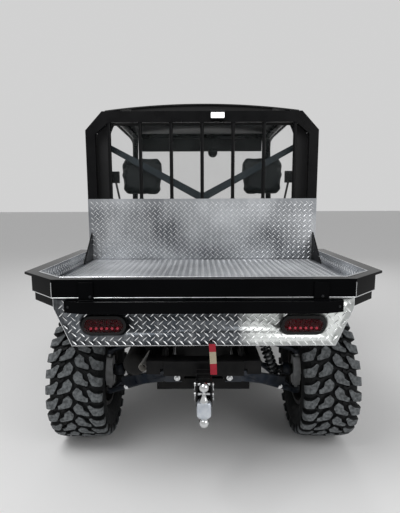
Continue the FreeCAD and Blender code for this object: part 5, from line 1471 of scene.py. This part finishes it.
@dataclass
class Cab(Assembly):
    """Cage, walls, glass, mirror, steering wheel, dash, pedals and belts."""
    seal: float = 0.009
    grip: float = 0.172
    grip_bar: float = 0.0146
    wheel_body: str = "steering_wheel_body"

    DRESSED = (("cab_floor", PLASTIC, 0.001), ("rocker_panels", PLASTIC, 0.006),
               ("rear_wall", PLASTIC, 0.004), ("quarter_panels", PANEL, 0.006),
               ("roll_cage", CAGE_PAINT, 0.0), ("rear_brace", BRACE_PAINT, 0.002),
               ("seat_base", PLASTIC, 0.006), ("dash", PLASTIC, 0.010),
               ("steering_column", FRAME_PAINT, 0.0), ("rear_window", GLASS, 0.001),
               ("windshield", GLASS, 0.001), ("steering_wheel", PLASTIC, 0.0))

    def pieces(self) -> None:
        """Build what the cab holds."""
        self.seals()
        self.pillar_trim()
        self.mirror()
        self.wheel()
        self.dash_gear()
        self.pedals()
        self.belts()

    def seals(self) -> None:
        """Rubber seals round the panes."""
        low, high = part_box("rear_window")
        corners = [np.array((x, low.y, z)) for x, z in
                   ((low.x, low.z), (high.x, low.z), (high.x, high.z), (low.x, high.z))]
        loop = [one * (1 - share) + two * share for one, two in zip(corners, corners[1:] + corners[:1])
                for share in (0.03, 0.5, 0.97)]
        form = Form().tube(loop, self.seal - 0.001, 8, loop=True)
        low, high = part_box("windshield")
        foot, head = (high.y - 0.004, low.z), (low.y + 0.003, high.z)
        for x in (low.x, high.x):
            form.rods([(x, *foot), (x, *head)], self.seal, 8)
        for end in (foot, head):
            form.rods([(low.x, *end), (high.x, *end)], self.seal, 8)
        form.piece("window_seals", SOFT_RUBBER, self.body)

    def pillar_trim(self) -> None:
        """Bulb seals down the rear wall's edges, and a dark sheet over the windshield's top that paints the
        shade seen there.
        """
        low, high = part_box("rear_wall")
        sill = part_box("quarter_panels")[1].z
        form = Form()
        for side in SIDES:
            form.prism([(side * high.x, low.y + 0.002), (side * (high.x + 0.030), low.y + 0.004),
                        (side * (high.x + 0.030), low.y + 0.020), (side * high.x, high.y)],
                       "Z", sill + 0.002, high.z - 0.135)
        form.piece("pillar_seals", SOFT_RUBBER, self.body, bevel=0.003)
        # Painted shade: a dark sheet along the windshield's top, standing for the dark band under the roof.
        low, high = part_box("windshield")
        lean = (high.y - low.y) / (high.z - low.z)
        drop, gap, skin = 0.105, 0.006, 0.004
        outline = [(low.y - gap + z * lean + y, high.z - 0.008 - z)
                   for z, y in ((0.0, 0.0), (drop, 0.0), (drop, -skin), (0.0, -skin))]
        Form().prism(outline, "X", low.x + 0.075, high.x - 0.075).piece(
            "header_painted_shade", ROOF_PLASTIC, self.body)

    def mirror(self) -> None:
        """The round mirror under the visor tube."""
        low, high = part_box("cab_mirror")
        x, y, z = (low.x + high.x) / 2, low.y, low.z + 0.043
        form = Form().turned([(-0.013, 0), (-0.013, 0.030), (-0.009, 0.038), (0.0, 0.0425),
                              (0.003, 0.0425), (0.003, 0.039)], (x, y + 0.004, z), BACK, 40)
        form.turned([(0.0, 0.010), (0.018, 0.0085)], (x, y + 0.012, z + 0.030), UP, 16)
        form.tube([(x, y + 0.014, z + 0.030), (x, y + 0.016, high.z)], 0.0055)
        form.piece("mirror_shell", PLASTIC, self.body, ("cab_mirror",))
        pane = Form().turned([(0.0015, 0), (0.0015, 0.0392), (0.0028, 0.0395)], (x, y + 0.004, z), BACK, 40)
        pane.piece("mirror_pane", MIRROR, self.body)

    def wheel(self) -> None:
        """The steering wheel's plain centre cap and its grip seams."""
        joint = [item for item in frame["joints"] if item["name"] == "wheel_turn"][0]
        centre, way = np.array(joint["pos_m"]), unit(joint["axis"])
        form = Form().turned([(-0.002, 0.050), (0.006, 0.047), (0.012, 0.036), (0.014, 0)], centre, way, 36)
        across = unit(np.cross(way, RIGHT))
        over = np.cross(way, across)
        for count in range(6):
            angle = math.radians(120 + 60 * count)
            radial = across * math.cos(angle) + over * math.sin(angle)
            form.tube([centre + radial * (self.grip + self.grip_bar * a) + way * self.grip_bar * b
                       for a, b in circle(20)], 0.0012, 6, loop=True)
        form.piece("wheel_cap", SOFT_RUBBER, self.wheel_body)

    def dash_gear(self) -> None:
        """Dash panels, gauge face, passenger grab bar and shift lever."""
        low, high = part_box("dash")
        back, top = low.y, high.z - 0.0785
        pod = Form().box((0.30, back - 0.004, top - 0.125), (0.55, back + 0.02, top - 0.045))
        for x in (-0.20, -0.125, -0.05, 0.025):
            pod.box((x, back - 0.006, top - 0.085), (x + 0.045, back + 0.02, top - 0.055))
        pod.piece("dash_pods", PLASTIC, self.body, bevel=0.003)
        face = Form().turned([(0.0008, 0), (0.0008, 0.054), (0.002, 0.056)],
                             (-0.430, back + 0.012, top + 0.020), (0, -1, 0.35), 36)
        face.piece("gauge_glass", REFLECTOR, self.body)
        bar = [(0.33, back + 0.01, top - 0.02), (0.33, back - 0.07, top + 0.01),
               (0.53, back - 0.07, top + 0.01), (0.53, back + 0.01, top - 0.02)]
        lever = [(-0.06, back + 0.02, 1.00), (-0.06, back - 0.09, 1.02), (-0.06, back - 0.13, 1.10)]
        grips = Form().tube(bent(bar, 0.03), 0.0115, 14).tube(bent(lever, 0.05), 0.008)
        grips.ball((-0.06, back - 0.13, 1.105), 0.019, 20).piece("cab_grips", SOFT_RUBBER, self.body)

    def pedals(self) -> None:
        """The two pedals and their arms."""
        back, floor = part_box("dash")[0].y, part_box("cab_floor")[0].z + 0.006
        form = Form()
        for x, wide in ((-0.38, 0.030), (-0.50, 0.045)):
            form.box((x - wide, back + 0.02, floor + 0.10), (x + wide, back + 0.035, floor + 0.19))
            form.tube([(x, back + 0.03, floor + 0.15), (x, back + 0.10, floor + 0.36)], 0.007, 10)
        form.piece("pedals", FRAME_PAINT, self.body, bevel=0.002)

    def belts(self) -> None:
        """Seat belts from the hoop down beside each seat."""
        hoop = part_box("rear_brace")[1].y + 0.022
        weave = Webbing("belt_webbing", "seat_vinyl", (0.012, 0.012, 0.013), (0.022, 0.022, 0.024),
                        relief=0.0004)
        form = Form()
        for side in SIDES:
            route = [(side * x, hoop + y, z) for x, y, z in
                     ((0.612, 0.0, 1.50), (0.600, 0.075, 1.36), (0.622, 0.15, 0.90), (0.632, 0.17, 0.72))]
            form.sweep(bent(route, 0.06), [(-1, -0.05), (1, -0.05), (1, 0.05), (-1, 0.05)], 0.0235, up=RIGHT)
            form.box((side * 0.612 - 0.03, hoop - 0.012, 1.47), (side * 0.612 + 0.03, hoop + 0.012, 1.55))
        form.piece("seat_belts", weave, self.body)


@dataclass
class Seats(Assembly):
    """Two bucket seats: padded cushions, backs and head pads, with welts round the cushions."""
    seat_x: float = 0.430
    voxel: float = 0.008
    swell: float = 0.014
    back_top: float = 1.372
    back_top_y: float = -0.216
    head_y: float = -0.232

    # share of the height, half width, half depth
    BACK = ((0.0, 0.160, 0.040), (0.05, 0.174, 0.048), (0.35, 0.180, 0.050),
            (0.70, 0.178, 0.048), (0.93, 0.160, 0.040), (1.0, 0.146, 0.030))
    # height, half width, half depth
    HEAD = ((1.392, 0.112, 0.026), (1.420, 0.138, 0.034), (1.520, 0.150, 0.038),
            (1.610, 0.144, 0.034), (1.648, 0.118, 0.024))

    def pieces(self) -> None:
        """Build the seats on both sides, and the cushions' welts."""
        low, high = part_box("seat_cushions")
        middle, deep = (low.y + high.y) / 2, (high.y - low.y) / 2 - 0.012
        cushion = Form().loft(self.oval(middle, z, 0.180 - shrink, deep - shrink, 0.30) for z, shrink in
                              ((low.z + 0.003, 0.014), (low.z + 0.030, 0.004), (low.z + 0.070, 0.002),
                               (high.z - 0.016, 0.012)))
        welt = self.oval(middle, low.z + 0.060, 0.188, deep + 0.008, 0.30)
        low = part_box("seat_backs")[0]
        foot, base = low.y + 0.060, low.z + 0.004
        back = Form().loft(self.oval(foot + (self.back_top_y - foot) * share,
                                     base + (self.back_top - base) * share, wide, thick, 0.45)
                           for share, wide, thick in self.BACK)
        head = Form().loft(self.oval(self.head_y, z, wide, thick, 0.5) for z, wide, thick in self.HEAD)
        self.pair("seat_cushion", [self.pad("cushion", cushion)], "seat_cushions")
        self.pair("seat_back", [self.pad("back", back), self.pad("head", head)], "seat_backs")
        welts = Form()
        for side in SIDES:
            welts.tube([(side * x, y, z) for x, y, z in welt], 0.0028, 6, loop=True)
        welts.piece("seat_welts", STITCH, self.body)

    def oval(self, y: float, z: float, wide: float, deep: float, power: float) -> list[Point]:
        """A level rounded rectangle in the right seat's middle plane.

        Args:
            y: its centre along the vehicle.
            z: its height.
            wide: its half width.
            deep: its half depth.
            power: how square its corners are.

        Returns:
            Its points.
        """
        return [(self.seat_x + squared(a, power) * wide, y + squared(b, power) * deep, z)
                for a, b in circle(36)]

    def pair(self, name: str, pads: Sequence[bpy.types.Mesh], node: str) -> None:
        """Make the right and the left piece of stuffed pads.

        Args:
            name: the pieces' name.
            pads: the right piece's pads.
            node: the node that they stand for.
        """
        for side, sign in (("right", 1), ("left", -1)):
            form = Form()
            for mesh in pads:
                form.add(spots(mesh) * (sign, 1, 1), [tuple(face.vertices) for face in mesh.polygons])
            made = form.piece(f"{name}_{side}", SEAT, self.body, (node,), smooth=60.0)
            smoother = made.modifiers.new("soft", "SUBSURF")
            smoother.levels = smoother.render_levels = 1

    def pad(self, name: str, form: Form) -> bpy.types.Mesh:
        """Stuff a rough form: remesh it and blow it up gently as cloth.

        Args:
            name: the pad's name.
            form: its rough closed form.

        Returns:
            The stuffed mesh.
        """
        made = placed(name, form.mesh(name))
        remesh = made.modifiers.new("even", "REMESH")
        remesh.mode = "VOXEL"
        remesh.voxel_size = self.voxel
        mesh = self.applied(made)
        bpy.data.objects.remove(made)
        rest = spots(mesh)
        move = self.swelled(mesh) - rest
        far = np.linalg.norm(move, axis=1, keepdims=True)
        rest += move * np.minimum(1.0, self.swell / np.maximum(far, 1e-9))
        mesh.vertices.foreach_set("co", rest.ravel())
        return mesh

    @staticmethod
    def applied(made: bpy.types.Object) -> bpy.types.Mesh:
        """An object's mesh with its modifiers applied."""
        graph = bpy.context.evaluated_depsgraph_get()
        return bpy.data.meshes.new_from_object(made.evaluated_get(graph))

    def swelled(self, mesh: bpy.types.Mesh) -> np.ndarray:
        """Run the cloth on a mesh and give back its points."""
        made = placed("swelling", mesh.copy())
        settings = made.modifiers.new("cloth", "CLOTH").settings
        settings.use_pressure = True
        settings.uniform_pressure_force = 4.0
        settings.effector_weights.gravity = 0.0
        for step in range(1, 19):
            bpy.context.scene.frame_set(step)
        points = spots(self.applied(made))
        bpy.data.objects.remove(made)
        bpy.context.scene.frame_set(1)
        return points


# Outer panels

@dataclass
class FrontBody(Assembly):
    """Hood, fenders, grille, lamps and bumper.

    Attributes: louvre_slope is how much the hood falls for each metre back from its nose.
    """
    louvres: int = 5
    louvre_pitch: float = 0.034
    louvre_slope: float = 0.052 / 0.36
    hook: float = 0.030

    DRESSED = (("hood", PANEL, 0.005), ("front_fenders", PANEL, 0.006),
               ("grille", PLASTIC, 0.003), ("front_bumper", CAGE_PAINT, 0.0))

    def pieces(self) -> None:
        """Build the lamps, the hood's louvres and the tow hooks."""
        self.lamps()
        self.vents()
        self.hooks()

    def lamps(self) -> None:
        """Headlamp housings with two reflectors each, under clear lenses."""
        low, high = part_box("headlamps")
        z = (low.z + high.z) / 2
        housing, bowls, lens = Form(), Form(), Form()
        outline = [(high.y - 0.010, low.z + 0.001), (high.y, low.z + 0.001),
                   (high.y - 0.014, high.z - 0.001), (high.y - 0.024, high.z - 0.001)]
        for side in SIDES:
            housing.box((side * 0.4010, low.y + 0.001, low.z), (side * 0.5990, low.y + 0.016, high.z))
            for x in (0.452, 0.548):
                bowls.turned([(0.0, 0), (0.0, 0.010), (0.010, 0.024), (0.028, 0.034), (0.030, 0.036),
                              (0.026, 0.037)], (side * x, low.y + 0.016, z), AHEAD, 32)
                bowls.ball((side * x, low.y + 0.026, z), 0.009, 16)
            lens.prism(outline, "X", side * 0.4010, side * 0.5990)
        housing.piece("headlamp_housings", PLASTIC, self.body)
        bowls.piece("headlamp_bowls", REFLECTOR, self.body)
        lens.piece("headlamp_lenses", CLEAR_LENS, self.body, ("headlamps",), bevel=0.002)

    def vents(self) -> None:
        """Two rows of louvres on the hood."""
        low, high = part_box("hood")
        form = Form()
        for side in SIDES:
            for count in range(self.louvres):
                y = low.y + 0.15 + self.louvre_pitch * count
                z = high.z - (y - low.y) * self.louvre_slope
                form.box((side * 0.045, y, z - 0.002), (side * 0.165, y + 0.018, z + 0.006))
        form.piece("hood_louvres", PLASTIC, self.body, bevel=0.002)

    def hooks(self) -> None:
        """Round tow hooks, flattened where they meet the bumper's face."""
        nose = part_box("front_bumper")[1].y
        form = Form()
        for side in SIDES:
            form.tube([(side * 0.20, min(nose - 0.024 + self.hook * a, nose - 0.001), 0.470 + self.hook * b)
                       for a, b in circle(28)], 0.007, 10, loop=True)
        form.piece("tow_hooks", CAGE_PAINT, self.body)


@dataclass
class Door(Assembly):
    """A half door with its trim and its latch handle."""
    side: str = "left"
    sign: int = -1
    skin: float = 0.730

    def pieces(self) -> None:
        """Dress the door and build its trim and latch."""
        node = f"door_{self.side}"
        body, sign, skin = f"{node}_body", self.sign, self.skin
        dress(node, PANEL, 0.006)
        low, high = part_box(node)
        trim = Form()
        for foot, head in ((0.055, 0.075), (0.100, 0.112)):
            trim.box((sign * (skin - 0.001), low.y + 0.10, low.z + foot),
                     (sign * (skin + 0.006), high.y - 0.08, low.z + head))
        trim.prism([(low.y + 0.128, 0.688), (high.y - 0.216, 0.630), (high.y - 0.154, 0.882),
                    (low.y + 0.198, 0.912)], "X", sign * (skin - 0.008), sign * (skin - 0.003))
        trim.piece(f"{node}_trim", PLASTIC, body, bevel=0.002)
        latch = Form().box((sign * (skin - 0.001), low.y + 0.030, 0.950),
                           (sign * (skin + 0.007), low.y + 0.115, 0.990))
        latch.tube(bent([(sign * (skin + x), low.y + y, 0.970) for x, y in
                         ((0.003, 0.040), (0.020, 0.050), (0.020, 0.100), (0.003, 0.108))], 0.008), 0.006, 10)
        latch.piece(f"{node}_latch", SOFT_RUBBER, body)


# The studio

class Ray(Enum):
    """Kinds of ray that see the plain pale studio."""
    CAMERA = "Is Camera Ray"
    GLOSSY = "Is Glossy Ray"
    TRANSMISSION = "Is Transmission Ray"


@dataclass
class Studio:
    """Pale floor, soft lamps and the camera at the photograph's place."""
    image: tuple[int, int] = (400, 513)
    focal_pixels: float = 389.4
    sensor: float = 36.0
    camera: tuple[float, float, float] = (-0.0116, -3.0825, 1.328)
    pitch: float = 7.8
    yaw: float = -0.1
    roll: float = -0.2
    sky: float = 0.55
    backdrop: float = 0.80
    reach: float = 60.0

    # name, place, aim, size, power
    LAMPS = (("key", (-1.6, -2.6, 4.2), (0.0, -0.6, 0.8), 2.2, 95.0),
             ("fill", (3.0, -3.4, 2.4), (0.0, -0.8, 0.6), 2.6, 42.0),
             ("front", (0.6, 4.6, 3.4), (0.0, 1.0, 0.8), 3.0, 60.0))

    def build(self) -> None:
        """Make the floor, the light and the camera."""
        self.floor()
        self.world()
        self.lamps()
        self.eye()
        bpy.context.scene.view_settings.view_transform = "Standard"

    def floor(self) -> None:
        """A wide pale floor."""
        mesh = bpy.data.meshes.new("studio_floor")
        corners = ((-1, -1), (1, -1), (1, 1), (-1, 1))
        mesh.from_pydata([(a * self.reach, b * self.reach, 0) for a, b in corners], [], [(0, 1, 2, 3)])
        made = placed("studio_floor", mesh)
        graph = Graph("studio_floor")
        graph.set(Base_Color=(0.86, 0.86, 0.86), Roughness=0.9, Specular_IOR_Level=0.1)
        mesh.materials.append(graph.material)

    def world(self) -> None:
        """A pale surrounding for the camera and for reflections, and a softer one for light."""
        world = bpy.data.worlds.new("studio")
        bpy.context.scene.world = world
        world.use_nodes = True
        tree = Tree(world.node_tree)
        seen: Wire | float = 0.0
        for ray in Ray:
            kind = tree.node("ShaderNodeLightPath", {}, {}, ray.value)
            seen = tree.node("ShaderNodeMath", {"operation": "MAXIMUM"}, {0: seen, 1: kind})
        strength = tree.node("ShaderNodeMix", {}, {0: seen, 2: self.sky, 3: self.backdrop})
        sky = tree.node("ShaderNodeBackground", {}, {"Strength": strength})
        tree.feed(tree.tree.nodes.new("ShaderNodeOutputWorld").inputs[0], sky)

    def lamps(self) -> None:
        """Soft area lamps: one over the bed, one from behind the camera and one ahead."""
        for name, place, aim, size, power in self.LAMPS:
            data = bpy.data.lights.new(name, "AREA")
            data.size = size
            data.energy = power
            made = placed(name, data)
            made.location = place
            made.rotation_euler = (Vector(aim) - Vector(place)).to_track_quat("-Z", "Y").to_euler()

    def eye(self) -> None:
        """The camera, from the fit to the photograph's edges."""
        data = bpy.data.cameras.new("eye")
        data.sensor_width = self.sensor
        data.lens = self.focal_pixels * self.sensor / max(self.image)
        made = placed("eye", data)
        made.location = self.camera
        turn = (Matrix.Rotation(math.radians(-self.yaw), 4, "Z")
                @ Matrix.Rotation(math.radians(90 - self.pitch), 4, "X")
                @ Matrix.Rotation(math.radians(self.roll), 4, "Z"))
        made.rotation_euler = turn.to_euler()
        bpy.context.scene.camera = made


def main() -> None:
    """Build the vehicle and the studio."""
    logging.basicConfig(level=logging.INFO, format="%(message)s")
    parts: list[Assembly | Studio] = [Bed(), TailLamps(), Rack()]
    for end in ("rear", "front"):
        for side in ("left", "right"):
            parts += [Tyre(end=end, side=side), Rim(end=end, side=side)]
    parts += [Chassis(), TowGear(), Roof(), Cab(), Seats(), FrontBody()]
    parts += [Door(side="left", sign=-1), Door(side="right", sign=1), Studio()]
    for part in parts:
        part.build()


if __name__ == "__main__":
    main()
